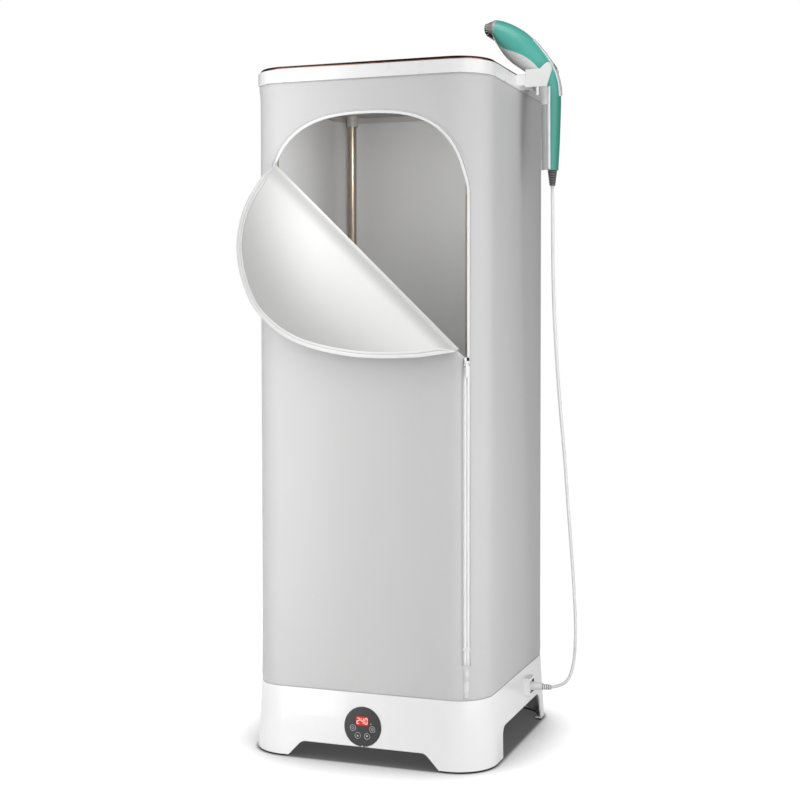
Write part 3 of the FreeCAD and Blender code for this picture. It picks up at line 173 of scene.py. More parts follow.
# Base and its round panel
BASE_TOP = 0.161
PAD_H = 0.004
BASE_FLARE = 0.010
PANEL_Z = 0.085
PANEL_D = 0.091
PANEL_PROUD = 0.0008
INK_H = 0.00012
NOTCH_R = 0.0022
NOTCH_STEPS = 12

# Number on the display and the mark beside it
SHOW_AT = (-0.0017, 0.013)
SHOW_NUMBER = "240"
DIGIT_BARS = {"0": "abcdef", "2": "abged", "4": "fgbc"}
BAR_ENDS = {
    "a": (-1, 1, 1, 1), "b": (1, 1, 1, 0), "c": (1, 0, 1, -1), "d": (-1, -1, 1, -1),
    "e": (-1, 0, -1, -1), "f": (-1, 1, -1, 0), "g": (-1, 0, 1, 0),
}
DIGIT_W = 0.0058
DIGIT_H = 0.0126
DIGIT_GAP = 0.0040
DIGIT_BAR = 0.0013
DIGIT_TRIM = 0.35
DIGIT_GLOW = 1.05
SCREEN_IN = 0.002
SCREEN_GLOW = 0.62
MARK_AT = (0.0188, 0.0064)
MARK_BARS = 3
MARK_PITCH = 0.0014
MARK_H = 0.0022
MARK_LINE = 0.0006

# Keys of the panel and their signs
KEY_PROUD = 0.0005
KEY_D = 0.015
KEY_OUT = (0.024, -0.004)
KEY_IN = (0.0115, -0.0207)
KEY_RIM = 0.0006
KEY_LINE = 0.0007
KEY_STEPS = 36
RING_END = 359.5
BLADES = 4
BLADE_R = 0.0016
BLADE_LINE = 0.0006
BLADE_FROM = -60
BLADE_SWEEP = 160
BLADE_STEPS = 8
POWER_R = 0.0028
POWER_FROM = 120
POWER_TO = 420
POWER_STEPS = 18
POWER_LOW = 0.0005
POWER_HIGH = 0.0036
ARROW_W = 0.0028
ARROW_H = 0.0020

# Cord of the steamer: its route as in the part's source
CORD_D = 0.008
CORD_SIDES = 16
CORD_ORDER = 3
CORD_FINE = 10
CORD_ROUTE = (
    (0.371, 0.0, 1.342), (0.371, 0.004, 1.252), (0.370, 0.010, 1.145), (0.372, 0.017, 1.030),
    (0.377, 0.025, 0.915), (0.384, 0.033, 0.800), (0.393, 0.041, 0.688), (0.399, 0.049, 0.577),
    (0.406, 0.057, 0.467), (0.412, 0.064, 0.360), (0.415, 0.070, 0.264), (0.411, 0.074, 0.190),
    (0.400, 0.076, 0.146), (0.380, 0.076, 0.122), (0.3494, 0.076, 0.116),
)

# Reliefs of the cord and of its plug
PLUG_RIBS = 4
# Width of the painted shade in each groove of the plug's relief
PLUG_GROOVE_SHADE_W = 0.0016
RELIEF_RIBS = 6
RELIEF_FOOT_R = 0.006
RELIEF_OUT = 0.0012
RELIEF_RIB_H = 0.0040
RELIEF_RIB_DEEP = 0.003
RELIEF_EDGE = 0.0006
RELIEF_SIDES = 28

# Steamer
RIB_PITCH = 0.006
RIB_W = 0.0030
RIB_H = 0.0004
RIB_STEPS = 14
RIB_END = 0.005
TANK_FROM = 100
TANK_TO = 260
TANK_X = 0.3620
TANK_CLEAR = HALF / 4
COMB_L = 0.0095
COMB_W = 0.0028
COMB_PITCH = 0.0052
COMB_STEPS = 4
COMB_START = 0.1
COMB_SHARE = 0.85
BRISTLE_R = 0.0011
BRISTLE_L = 0.009
BRISTLE_TIP = 0.7
BRISTLE_SIDES = 8
BRISTLE_RING = 0.80
BRISTLES_ROUND = 22
BRISTLES_ACROSS = 7
BRISTLE_PITCH = 0.2
# Heights and slope of the painted shade along the bottom and top of the brush frame
LOW_SHADE_H = 0.011
LOW_SHADE_RISE = 0.014
TOP_SHADE_H = 0.007
STRIP_X = 0.3676
STRIP_W = 0.0062
STRIP_H = 0.0006
STRIP_OVER = 0.02
STRIP_LIFT = 0.001
STRIP_STEPS = 36
RING_W = 0.008
RING_LEAN = 0.12
HANDLE_LOW = 1.53
HANDLE_HIGH = 1.63

# Surfaces; a wave texture's scale times the pitch of its bands in metres is its turn
WAVE_TURN = 0.314
CLOTH_PITCH = 0.0011
MOTTLE_ENDS = (0.3, 0.7)
# Width of the painted shade for the slot of the zip slider
SLOT_SHADE_W = 0.0055

# Places of the inputs and of the result on a node that mixes colours
MIX_SHARE = 0
MIX_UNDER = 6
MIX_OVER = 7
MIX_RESULT = 2

# Floor and light; each lamp has its place, its aim, its width and height, and its power in watts
FLOOR_HALF = 14.0
FLOOR_GLOW = 0.88
# Painted shadow on the floor: its glow darkens with ambient occlusion near the base and falls to a low
# level under the base's footprint
SHADE_REACH = 0.26
SHADE_SAMPLES = 16
SHADE_FROM = 0.36
SHADE_TO = 0.80
SHADE_LOW = 0.05
SHADE_HIGH = 1.16
UNDER_SHADOW_LEVEL = 0.07
UNDER_IN = 0.004
UNDER_OUT = 0.010
WORLD_LIGHT = 0.1
LAMPS = {
    "near_left": ((-0.40, -0.78, 0.95), (-0.27, -0.29, 0.9), 0.25, 2.0, 5.6),
    "far_left": ((-0.95, -0.95, 0.95), (-0.2, -0.29, 0.9), 0.4, 2.4, 2.5),
    "right": ((0.95, -0.62, 0.9), (0.27, -0.2, 0.9), 1.0, 2.4, 13.5),
    "top": ((0.1, -0.8, 3.2), (0.0, -0.1, 1.2), 1.6, 1.2, 22),
    "back": ((-0.7, 1.9, 1.0), (0.0, 0.29, 0.9), 1.2, 2.2, 12),
    "inside": ((0.05, -0.22, 1.50), (0.0, 0.20, 1.05), 0.30, 0.08, 1.6),
}


def smooth(t):
    t = min(max(t, 0.0), 1.0)
    return t * t * (3 - 2 * t)


def turns(count):
    """Angles of an even division of the circle."""
    return [2 * math.pi * k / count for k in range(count)]


def grey(level):
    return (level, level, level)


# Nodes of materials and of the world

def give(owner, target, value):
    """Sets an input of a node to a value, or links it to a socket."""
    if isinstance(value, bpy.types.NodeSocket):
        owner.node_tree.links.new(value, target)
    else:
        target.default_value = value


def add_node(owner, kind, **values):
    """A node with its own settings and its named inputs."""
    node = owner.node_tree.nodes.new(kind)
    for key, value in values.items():
        if hasattr(node, key):
            setattr(node, key, value)
        else:
            give(owner, node.inputs[key.replace("_", " ")], value)
    return node


def fill(owner, node, *values):
    """Gives the inputs of a node their values in order."""
    for target, value in zip(node.inputs, values):
        give(owner, target, value)
    return node


def math_node(owner, operation, *values):
    return fill(owner, add_node(owner, "ShaderNodeMath", operation=operation), *values).outputs["Value"]


def vector_node(owner, operation, *values):
    return fill(owner, add_node(owner, "ShaderNodeVectorMath", operation=operation), *values).outputs


def map_range(owner, value, start, end, low=0.0, high=1.0, kind="LINEAR"):
    node = add_node(owner, "ShaderNodeMapRange", interpolation_type=kind, Value=value,
                    From_Min=start, From_Max=end, To_Min=low, To_Max=high)
    return node.outputs["Result"]


def place_of(material):
    """Object coordinates in metres."""
    return add_node(material, "ShaderNodeTexCoord").outputs["Object"]


def along_axis(material, axis):
    return add_node(material, "ShaderNodeSeparateXYZ", Vector=place_of(material)).outputs[axis]


# Materials

def shader_of(material):
    return material.node_tree.nodes["Principled BSDF"]


def feed(material, key, value):
    give(material, shader_of(material).inputs[key], value)


def new_material(name, color, rough, metallic=0.0, coat=0.0, specular=0.5, sheen=0.0):
    material = bpy.data.materials.new(name)
    material.use_nodes = True
    feed(material, "Base Color", (*color, 1))
    feed(material, "Roughness", rough)
    feed(material, "Metallic", metallic)
    feed(material, "Coat Weight", coat)
    feed(material, "Specular IOR Level", specular)
    feed(material, "Sheen Weight", sheen)
    return material


def noise_of(material, scale, detail, stretch=(1, 1, 1)):
    """Noise over the surface, stretched along each axis."""
    mapping = add_node(material, "ShaderNodeMapping", Scale=stretch, Vector=place_of(material))
    noise = add_node(material, "ShaderNodeTexNoise", Scale=scale, Detail=detail,
                     Vector=mapping.outputs["Vector"])
    return noise.outputs["Fac"]


def add_mottle(material, amount, scale, stretch=(1, 1, 1)):
    """Slow change of colour over the surface."""
    color = tuple(shader_of(material).inputs["Base Color"].default_value)[:3]
    ramp = add_node(material, "ShaderNodeValToRGB", Fac=noise_of(material, scale, 4.0, stretch))
    for stop, place, level in zip(ramp.color_ramp.elements, MOTTLE_ENDS, (1 - amount, 1 + amount)):
        stop.position = place
        stop.color = (*[min(c * level, 1) for c in color], 1)
    feed(material, "Base Color", ramp.outputs["Color"])


def add_rough_spots(material, low, high, scale):
    feed(material, "Roughness", map_range(material, noise_of(material, scale, 3.0), 0, 1, low, high))


def add_bump(material, height, strength, depth):
    bump = add_node(material, "ShaderNodeBump", Strength=strength, Distance=depth, Height=height)
    feed(material, "Normal", bump.outputs["Normal"])


def add_grain(material, scale, depth, stretch=(1, 1, 1)):
    """Fine bump of a moulded or brushed surface."""
    add_bump(material, noise_of(material, scale, 5.0, stretch), strength=0.35, depth=depth)


def add_weave(material, pitch, depth, strength):
    """Crossed threads from two bands that run along the cloth's own coordinates."""
    coords = add_node(material, "ShaderNodeUVMap", uv_map="cloth").outputs["UV"]
    bands = []
    for direction in ("X", "Y"):
        wave = add_node(material, "ShaderNodeTexWave", bands_direction=direction, Distortion=0.6,
                        Scale=WAVE_TURN / pitch, Detail_Scale=2.0, Vector=coords)
        bands.append(wave.outputs["Fac"])
    add_bump(material, math_node(material, "MULTIPLY", *bands), strength, depth)


def plastic(name, color, rough, coat=0.0, grain=0.00006):
    material = new_material(name, color, rough, coat=coat)
    add_mottle(material, amount=0.012, scale=9.0)
    add_rough_spots(material, rough * 0.88, rough * 1.15, scale=24.0)
    add_grain(material, scale=900.0, depth=grain)
    return material


def metal(name, color, rough, stretch):
    material = new_material(name, color, rough, metallic=1.0)
    add_mottle(material, amount=0.05, scale=30.0, stretch=stretch)
    add_rough_spots(material, rough * 0.8, rough * 1.25, scale=60.0)
    add_grain(material, scale=320.0, depth=0.00005, stretch=stretch)
    return material


def cloth(name, color, rough, sheen):
    material = new_material(name, color, rough, specular=0.35, sheen=sheen)
    feed(material, "Sheen Roughness", 0.4)
    add_mottle(material, amount=0.02, scale=5.0, stretch=(1, 1, 0.35))
    add_weave(material, CLOTH_PITCH, depth=0.00012, strength=0.35)
    return material


def beyond_plane(material, point, normal):
    """1 on the far side of a plane through a point, 0 on the near side."""
    along = vector_node(material, "DOT_PRODUCT", place_of(material), normal)["Value"]
    return math_node(material, "GREATER_THAN", along, Vector(point).dot(Vector(normal)))


def stripes(material, axis, start, pitch, share):
    """1 on a share of each pitch along an axis, else 0."""
    count = math_node(material, "MULTIPLY_ADD", along_axis(material, axis), 1 / pitch, -start / pitch)
    return math_node(material, "LESS_THAN", math_node(material, "FRACT", count), share)


def within(material, **spans):
    """1 between two places along each named axis, else 0."""
    mask = 1.0
    for axis, (low, high) in spans.items():
        at = along_axis(material, axis)
        near = math_node(material, "COMPARE", at, (low + high) / 2, (high - low) / 2)
        mask = math_node(material, "MULTIPLY", mask, near)
    return mask


def paint(material, mask, color):
    """Lays another colour over the material where the mask is 1."""
    target = shader_of(material).inputs["Base Color"]
    under = target.links[0].from_socket if target.links else target.default_value
    mix = add_node(material, "ShaderNodeMix", data_type="RGBA")
    for place, value in ((MIX_SHARE, mask), (MIX_UNDER, under), (MIX_OVER, (*color, 1))):
        give(material, mix.inputs[place], value)
    give(material, target, mix.outputs[MIX_RESULT])


def fade(material, axis, low, high, color):
    """Lays a colour over one end of an axis and lets it fade out towards the other."""
    mask = map_range(material, along_axis(material, axis), low, high, 1.0, 0.0, "SMOOTHSTEP")
    paint(material, mask, color)


def paint_beyond(material, point, normal, color):
    paint(material, beyond_plane(material, point, normal), color)


def plug_relief_material():
    """White relief with painted shade in the grooves between its ribs."""
    low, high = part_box("plug_relief")
    material = plastic("plug_relief_white", (0.80, 0.80, 0.79), 0.45)
    pitch = (high[0] - low[0]) / PLUG_RIBS
    # Painted shade in the grooves
    paint(material, stripes(material, "X", low[0], pitch, PLUG_GROOVE_SHADE_W / pitch), grey(0.06))
    return material


def brush_material():
    """Grey frame, with painted shade near black along its bottom and top, and a darker ground along its
    outer edge.
    """
    low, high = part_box("brush_frame")
    material = plastic("brush_grey", (0.27, 0.27, 0.275), 0.4)
    wide = high[0] - low[0]
    paint_beyond(material, (low[0] + COMB_L, 0, 0), (-1, 0, 0), grey(0.05))
    # Painted shade, near black, along the bottom and the top of the frame
    paint_beyond(material, (high[0], 0, low[2] + LOW_SHADE_H), (-LOW_SHADE_RISE, 0, -wide), grey(0.008))
    paint_beyond(material, (high[0], 0, high[2] - TOP_SHADE_H), (-LOW_SHADE_RISE / 2, 0, wide), grey(0.008))
    return material


def slider_material():
    """Pale slider with a dark band of painted shade standing for the slot round the pin of its tab."""
    low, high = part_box("zip_slider")
    middle_x = (low[0] + high[0]) / 2
    material = metal("slider_pale", grey(0.62), 0.34, (1, 1, 8))
    # Painted shade for the slot round the tab's pin
    paint(material, within(material, X=(middle_x, middle_x + SLOT_SHADE_W)), grey(0.02))
    return material


def socket_material():
    """White outlet frame with painted shade in its recess."""
    low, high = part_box("socket_insert")
    material = plastic("outlet_white", grey(0.86), 0.30, coat=0.45)
    # Painted shade, near black, over the recess of the insert
    paint(material, within(material, Y=(low[1], high[1]), Z=(low[2], high[2])), grey(0.012))
    return material


def teal_material():
    """Teal shell with a grey ring round the mouth of the head and a deeper tone down the handle."""
    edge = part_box("brush_frame")[1]
    material = plastic("teal_shell", (0.092, 0.45, 0.38), 0.40, coat=0.15)
    fade(material, "Z", HANDLE_LOW, HANDLE_HIGH, (0.048, 0.285, 0.228))
    paint_beyond(material, (edge[0] + RING_W, 0, edge[2]), (-1, 0, RING_LEAN), (0.42, 0.43, 0.43))
    return material


def screen_material():
    """Red light behind the middle of the display window."""
    low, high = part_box("display_window")
    material = new_material("screen_red", (0.10, 0.004, 0.003), 0.3)
    lit = within(material, X=(low[0] + SCREEN_IN, high[0] - SCREEN_IN),
                 Z=(low[2] + SCREEN_IN, high[2] - SCREEN_IN))
    feed(material, "Emission Color", (0.78, 0.018, 0.014, 1))
    feed(material, "Emission Strength", math_node(material, "MULTIPLY", lit, SCREEN_GLOW))
    return material


def digit_material():
    color = (1.0, 0.50, 0.40)
    material = new_material("digit_red", color, 0.4)
    feed(material, "Emission Color", (*color, 1))
    feed(material, "Emission Strength", DIGIT_GLOW)
    return material


def cover_material():
    """Grey cloth, white where it shows between the two tapes of the closed zip."""
    material = cloth("cover_cloth", grey(0.60), 0.52, 0.12)
    across = (ZIP_X - ZIP_SLOT, ZIP_X + ZIP_SLOT)
    paint(material, within(material, X=across, Y=(2 * FRONT_Y, 0), Z=(ZIP_FOOT, FOLD_B.y)), grey(0.95))
    return material


def flap_material():
    """Cloth with painted light and shade: brightest a little below the fold, darker at its free edge and
    to the left.
    """
    material = cloth("flap_cloth", (0.72, 0.72, 0.71), 0.6, 0.1)
    coords = add_node(material, "ShaderNodeUVMap", uv_map="cloth")
    split = add_node(material, "ShaderNodeSeparateXYZ", Vector=coords.outputs["UV"])
    share = map_range(material, split.outputs["Y"], 0, FLAP_SHADE_H)
    # Painted light and shade from the fold to the free edge
    ramp = add_node(material, "ShaderNodeValToRGB", Fac=share)
    shades = ramp.color_ramp
    shades.interpolation = "EASE"
    shades.elements[0].color = (0.84, 0.84, 0.83, 1)
    shades.elements[0].position = FLAP_PAINTED_HIGHLIGHT
    shades.elements[1].color = (0.41, 0.41, 0.405, 1)
    shades.elements.new(0.0).color = (0.58, 0.58, 0.57, 1)
    feed(material, "Base Color", ramp.outputs["Color"])
    # Painted shade towards the left
    fade(material, "X", FLAP_PAINTED_SHADE_X, FLAP_SHADE_END_X, (0.30, 0.30, 0.297))
    return material


def binding_material():
    """White tape with painted shade that darkens it to the left."""
    material = plastic("binding_white", grey(0.84), 0.55, grain=0.0003)
    # Painted shade towards the left
    fade(material, "X", FLAP_PAINTED_SHADE_X, BINDING_SHADE_END_X, grey(0.46))
    return material


def stop_material():
    """Dark metal for the stop at the fold, white for the one at the foot of the zip."""
    material = new_material("zip_stop", grey(0.8), 0.4)
    add_grain(material, scale=400.0, depth=0.0001)
    paint_beyond(material, (0, 0, STOP_SPLIT), (0, 0, 1), grey(0.03))
    return material


def plate_material():
    """Dark smooth top of the lid."""
    material = new_material("plate_dark", (0.024, 0.011, 0.010), 0.2, specular=0.25)
    add_mottle(material, amount=0.05, scale=6.0)
    add_rough_spots(material, low=0.17, high=0.24, scale=20.0)
    return material


def film_material():
    """Clear crinkled film over the tail of the zip."""
    material = new_material("zip_film", grey(0.66), 0.28, coat=0.4)
    add_mottle(material, amount=0.16, scale=60.0)
    add_grain(material, scale=60.0, depth=0.0012)
    return material


WHITE = plastic("white_shell", grey(0.86), 0.28, coat=0.35)
PALE = plastic("pale_shell", (0.82, 0.83, 0.83), 0.27, coat=0.4)
TANK = plastic("tank_grey", (0.47, 0.475, 0.485), 0.24, coat=0.3)
RELIEF = plastic("relief_grey", grey(0.12), 0.6)
CORD = plastic("cord_white", (0.80, 0.80, 0.79), 0.45, grain=0.0001)
COVER_CLOTH = cover_material()
FLAP_CLOTH = flap_material()
TAPE_CLOTH = plastic("tape_white", grey(0.84), 0.55, grain=0.0003)
BINDING = binding_material()
TOOTH = plastic("tooth_white", grey(0.80), 0.35)
STITCH = plastic("stitch_grey", grey(0.40), 0.7)
HEM = plastic("hem_grey", (0.57, 0.565, 0.575), 0.7, grain=0.0003)
FILM = film_material()
INK = plastic("ink_pale", grey(0.62), 0.5)
DIGIT = digit_material()

# Nodes of the part with the material that they share
NODE_MATERIALS = {
    "lid_rim holder_clip holder_fork pole_couplers rail_hangers": WHITE,
    "lid_top_plate": plate_material(),
    "lid_trim_ring": metal("rose_trim", (0.50, 0.27, 0.21), 0.32, (1, 1, 1)),
    "lid_liner base_deck fan_duct outlet_grille": plastic("grey_liner", (0.46, 0.44, 0.42), 0.5),
    "base_housing": plastic("white_base", grey(0.86), 0.30, coat=0.45),
    "bottom_pan": plastic("dark_pan", grey(0.022), 0.6),
    "rubber_feet": plastic("foot_rubber", grey(0.012), 0.75, grain=0.0002),
    "control_panel": plastic("panel_black", (0.015, 0.015, 0.016), 0.26, coat=0.3, grain=0.00002),
    "touch_keys": plastic("key_black", (0.024, 0.024, 0.026), 0.26, coat=0.4, grain=0.00002),
    "display_window": screen_material(),
    "side_socket": socket_material(),
    "control_board power_board": plastic("board_green", (0.02, 0.14, 0.06), 0.45),
    "power_parts socket_insert mains_gland fan_impeller thermal_cutout":
        plastic("black_part", grey(0.018), 0.42),
    "case_screws motor_bracket fan_motor hanging_rail holder_screws steam_plate":
        metal("brushed_steel", grey(0.52), 0.34, (1, 1, 12)),
    "fan_shaft": metal("turned_steel", grey(0.5), 0.28, (1, 1, 12)),
    "ptc_heater steam_heater": metal("bare_aluminium", (0.62, 0.62, 0.63), 0.38, (10, 1, 1)),
    "poles_lower poles_upper": metal("pole_steel", (0.44, 0.38, 0.30), 0.36, (8, 8, 0.6)),
    "zip_stops": stop_material(),
    "zip_slider": slider_material(),
    "zip_pull_tab": plastic("tab_white", grey(0.85), 0.4),
    "steamer_teal_shell": teal_material(),
    "steamer_pale_head steamer_spine_strip": PALE,
    "steamer_pale_grip": plastic("grip_grey", (0.50, 0.50, 0.505), 0.3, coat=0.3),
    "steamer_water_tank": TANK,
    "thumb_switch": plastic("switch_grey", (0.10, 0.105, 0.11), 0.4),
    "brush_frame": brush_material(),
    "cord_relief": plastic("relief_dark", grey(0.03), 0.6),
    "steamer_plug": CORD,
    "plug_relief": plug_relief_material(),
}


def dress_nodes():
    for names, material in NODE_MATERIALS.items():
        for name in names.split():
            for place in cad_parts[name].material_slots:
                place.material = material


# Mesh helpers

def add_object(name, data):
    obj = bpy.data.objects.new(name, data)
    bpy.context.scene.collection.objects.link(obj)
    return obj


def mesh_object(name, build, material):
    mesh = bpy.data.meshes.new(name)
    build.to_mesh(mesh)
    build.free()
    mesh.materials.append(material)
    for face in mesh.polygons:
        face.use_smooth = True
    return add_object(name, mesh)


def outward_object(name, build, material):
    """A mesh whose faces all look outwards."""
    bmesh.ops.recalc_face_normals(build, faces=build.faces)
    return mesh_object(name, build, material)


def thicken(obj, thickness, offset):
    solid = obj.modifiers.new("thickness", "SOLIDIFY")
    solid.thickness = thickness
    solid.offset = offset
    return obj


def grid_faces(build, rows, uv_rows):
    """Quads between rows of points, each point with a cloth coordinate in metres."""
    layer = build.loops.layers.uv.new("cloth")
    verts = [[build.verts.new(p) for p in row] for row in rows]
    for i in range(len(rows) - 1):
        for j in range(len(rows[i]) - 1):
            spots = ((i, j), (i, j + 1), (i + 1, j + 1), (i + 1, j))
            face = build.faces.new([verts[a][b] for a, b in spots])
            for corner, (a, b) in zip(face.loops, spots):
                corner[layer].uv = uv_rows[a][b]


def skin(build, rings):
    """Quads between rings of as many points each."""
    for first, last in zip(rings[:-1], rings[1:]):
        for k in range(len(first)):
            following = (k + 1) % len(first)
            build.faces.new((first[k], first[following], last[following], last[k]))


def capped_skin(build, rings):
    """Quads between rings, with a face over each end."""
    skin(build, rings)
    build.faces.new(rings[0])
    build.faces.new(list(reversed(rings[-1])))


def sweep(build, path, profile, tip=0):
    """Closed profile (side, out) along points with normals, narrower towards its ends."""
    rings = []
    for i, (point, normal) in enumerate(path):
        before = path[max(i - 1, 0)][0]
        after = path[min(i + 1, len(path) - 1)][0]
        side = normal.cross((after - before).normalized()).normalized()
        share = min(1.0, (min(i, len(path) - 1 - i) + 1) / (tip + 1))
        rings.append([build.verts.new(point + side * a * share + normal * b) for a, b in profile])
    capped_skin(build, rings)


def ribbon(name, path, profile, material, tip=0):
    build = bmesh.new()
    sweep(build, path, profile, tip)
    return outward_object(name, build, material)


def hits(node, rays):
    """Points and normals where rays, each a start and a way, meet a node."""
    casts = [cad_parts[node].ray_cast(start, way) for start, way in rays]
    return [(at, normal) for met, at, normal, _ in casts if met]


def on_front(x, z):
    """A point of the cover's front, rounded corners included, and the way it faces."""
    if abs(x) <= FLAT:
        return Vector((x, FRONT_Y, z)), Vector((0, -1, 0))
    side = math.copysign(1, x)
    turn = math.asin(min((abs(x) - FLAT) / CORNER_R, 1))
    normal = Vector((side * math.sin(turn), -math.cos(turn), 0))
    return Vector((side * FLAT, FRONT_Y + CORNER_R, z)) + normal * CORNER_R, normal


# Cover

def cover_outline():
    """Points of the rounded square with their normals and the length walked so far."""
    spots = []
    for quarter in range(4):
        turn = Matrix.Rotation(quarter * math.pi / 2, 2)
        for i in range(WALL_STEPS):
            at = Vector((-FLAT + 2 * FLAT * i / WALL_STEPS, -HALF))
            spots.append((turn @ at, turn @ Vector((0, -1))))
        for i in range(CORNER_STEPS):
            angle = math.pi / 2 * i / CORNER_STEPS
            normal = Vector((math.sin(angle), -math.cos(angle)))
            spots.append((turn @ (Vector((FLAT, -FLAT)) + normal * CORNER_R), turn @ normal))
    spots.append(spots[0])
    walked = 0.0
    outline = []
    for i, (at, normal) in enumerate(spots):
        walked += (at - spots[i - 1][0]).length if i else 0.0
        outline.append((at, normal, walked))
    return outline


def cover_out(turn, z):
    """How far the cloth stands off its wall, at an angle round the cover and a height."""
    lift = FLARE_OUT * smooth((z - (COVER_TOP - FLARE_H)) / FLARE_H)
    tuck = TUCK_IN * smooth((COVER_LOW + TUCK_H - z) / TUCK_H)
    hold = smooth((z - COVER_LOW) / WOBBLE_HELD) * smooth((COVER_TOP - z) / WOBBLE_HELD)
    fast = math.sin(WAVES_FAST * turn + WAVE_SHIFT) * math.sin(WAVE_UP * z)
    slow = SLOW_SHARE * math.sin(WAVES_SLOW * turn + WAVE_LEAN * z)
    return lift - tuck + WOBBLE * hold * (fast + slow - (1 + SLOW_SHARE))


def arch_point(angle):
    """A point of the arch over the mouth, whose shoulders are fuller than a circle's."""
    side = math.cos(angle)
    up = math.sin(angle)
    reach = (abs(side) ** ARCH_POWER + abs(up) ** ARCH_POWER) ** (-1 / ARCH_POWER)
    if angle > math.pi / 2 - TOUCH:
        return Vector((MOUTH_LEFT, ARCH_TOP)) + Vector((side * reach + 1, up * reach - 1)) * ARCH_LEFT
    point = Vector((MOUTH_RIGHT, ARCH_TOP)) + Vector((side * reach - 1, up * reach - 1)) * ARCH_RIGHT
    lean = smooth((point.y - ZIP_TOP) / ZIP_EASE)
    return Vector((MOUTH_RIGHT + (point.x - MOUTH_RIGHT) * lean, point.y))


def above_fold(point):
    return (point - FOLD_A).dot(FOLD_OVER)


def mouth_outline():
    """Points round the open mouth, from the fold's lower end over the arch to its upper end."""
    points = [Vector((MOUTH_RIGHT, FOLD_B.y))]
    middle = (MOUTH_LEFT + MOUTH_RIGHT) / 2
    for i in range(2 * ARC_STEPS + 1):
        point = arch_point(math.pi * i / (2 * ARC_STEPS))
        own_half = (point.x > middle) == (i < ARC_STEPS)
        if own_half and above_fold(point) > ARCH_CLEAR:
            points.append(point)
    points.append(FOLD_A - FOLD_WAY * MOUTH_CORNER)
    return points


def cut_mouth(build):
    """Cuts the front along the sides of the mouth and takes out what lies inside them."""
    outline = mouth_outline()
    sides = list(zip(outline, outline[1:] + outline[:1]))
    for first, last in sides:
        way = last - first
        low = (min(first.x, last.x) - CUT_ROOM, min(first.y, last.y) - CUT_ROOM)
        high = (max(first.x, last.x) + CUT_ROOM, max(first.y, last.y) + CUT_ROOM)
        parts = set()
        for face in build.faces:
            at = face.calc_center_median()
            if at.y < FRONT_Y + CORNER_R and low[0] < at.x < high[0] and low[1] < at.z < high[1]:
                parts.add(face)
                parts.update(face.edges)
                parts.update(face.verts)
        bmesh.ops.bisect_plane(build, geom=list(parts), dist=TOUCH, plane_co=(first.x, 0, first.y),
                               plane_no=(way.y, 0, -way.x))
    inside = []
    for face in build.faces:
        at = face.calc_center_median()
        spot = Vector((at.x, at.z))
        lefts = [(last - first).cross(spot - first) for first, last in sides]
        if at.y < FRONT_Y + CORNER_R and min(lefts) > 0:
            inside.append(face)
    bmesh.ops.delete(build, geom=inside, context="FACES")


def make_cover():
    outline = cover_outline()
    around = outline[-1][2]
    tall = COVER_TOP - COVER_LOW
    heights = [COVER_LOW + tall * i / COVER_ROWS for i in range(COVER_ROWS + 1)]
    heights += [COVER_LOW + TUCK_H * k / TUCK_ROWS for k in range(1, TUCK_ROWS)]
    heights += [COVER_TOP - FLARE_H * k / FLARE_ROWS for k in range(1, FLARE_ROWS)]
    rows = []
    uv_rows = []
    for z in sorted(heights):
        outs = [cover_out(2 * math.pi * s / around, z) for _, _, s in outline]
        rows.append([(*(at + normal * out), z) for (at, normal, _), out in zip(outline, outs)])
        uv_rows.append([(s, z) for _, _, s in outline])
    build = bmesh.new()
    grid_faces(build, rows, uv_rows)
    bmesh.ops.remove_doubles(build, verts=build.verts, dist=TOUCH)
    cut_mouth(build)
    cover = thicken(outward_object("cover", build, COVER_CLOTH), CLOTH_T, -1)
    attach(cover, "cabinet")
    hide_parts("cover_front", "cover_back", "cover_left", "cover_right")


# Zip

def teeth(path):
    """Short blocks set along a path at the pitch of the zip."""
    build = bmesh.new()
    size = Matrix.Diagonal((TOOTH_PITCH * TOOTH_SHARE, TOOTH_W, TOOTH_H, 1))
    left = 0.0
    for (first, normal), (last, _) in zip(path[:-1], path[1:]):
        run = last - first
        along = run.normalized()
        side = normal.cross(along).normalized()
        while left < run.length:
            turn = Matrix((along, side, normal)).transposed().to_4x4()
            turn.translation = first + along * left + side * TOOTH_IN + normal * TOOTH_H / 2
            made = bmesh.ops.create_cube(build, size=1.0, matrix=turn @ size)
            edges = {e for v in made["verts"] for e in v.link_edges}
            bmesh.ops.bevel(build, geom=list(edges), offset=TOOTH_ROUND, segments=1, affect="EDGES")
            left += TOOTH_PITCH
        left -= run.length
    return mesh_object("zip_teeth", build, TOOTH)


def tape_profile(width, back):
    """A tape with soft edges and a groove, as deep as the cloth that it binds."""
    groove = width * GROOVE_SHARE
    return [
        (-BINDING_OVER, -back), (-BINDING_OVER, TAPE_LIP), (BINDING_SOFT, ZIP_H),
        (groove - GROOVE_HALF, ZIP_H), (groove, ZIP_H - GROOVE_DEEP), (groove + GROOVE_HALF, ZIP_H),
        (width - TAPE_SOFT, ZIP_H), (width, TAPE_LIP), (width, -back),
    ]


def band_profile(width):
    """A plain tape with soft edges."""
    return [
        (0, -TAPE_SINK), (0, TAPE_LIP), (TAPE_SOFT, ZIP_H), (width - TAPE_SOFT, ZIP_H), (width, TAPE_LIP),
        (width, -TAPE_SINK),
    ]


def hem_profile(width):
    """The sewn edge beside a tape, a little lower than the tape itself."""
    outer = width + ZIP_HEM
    return [(width, -TAPE_SINK), (width, HEM_H), (outer, HEM_EDGE), (outer, -TAPE_SINK)]


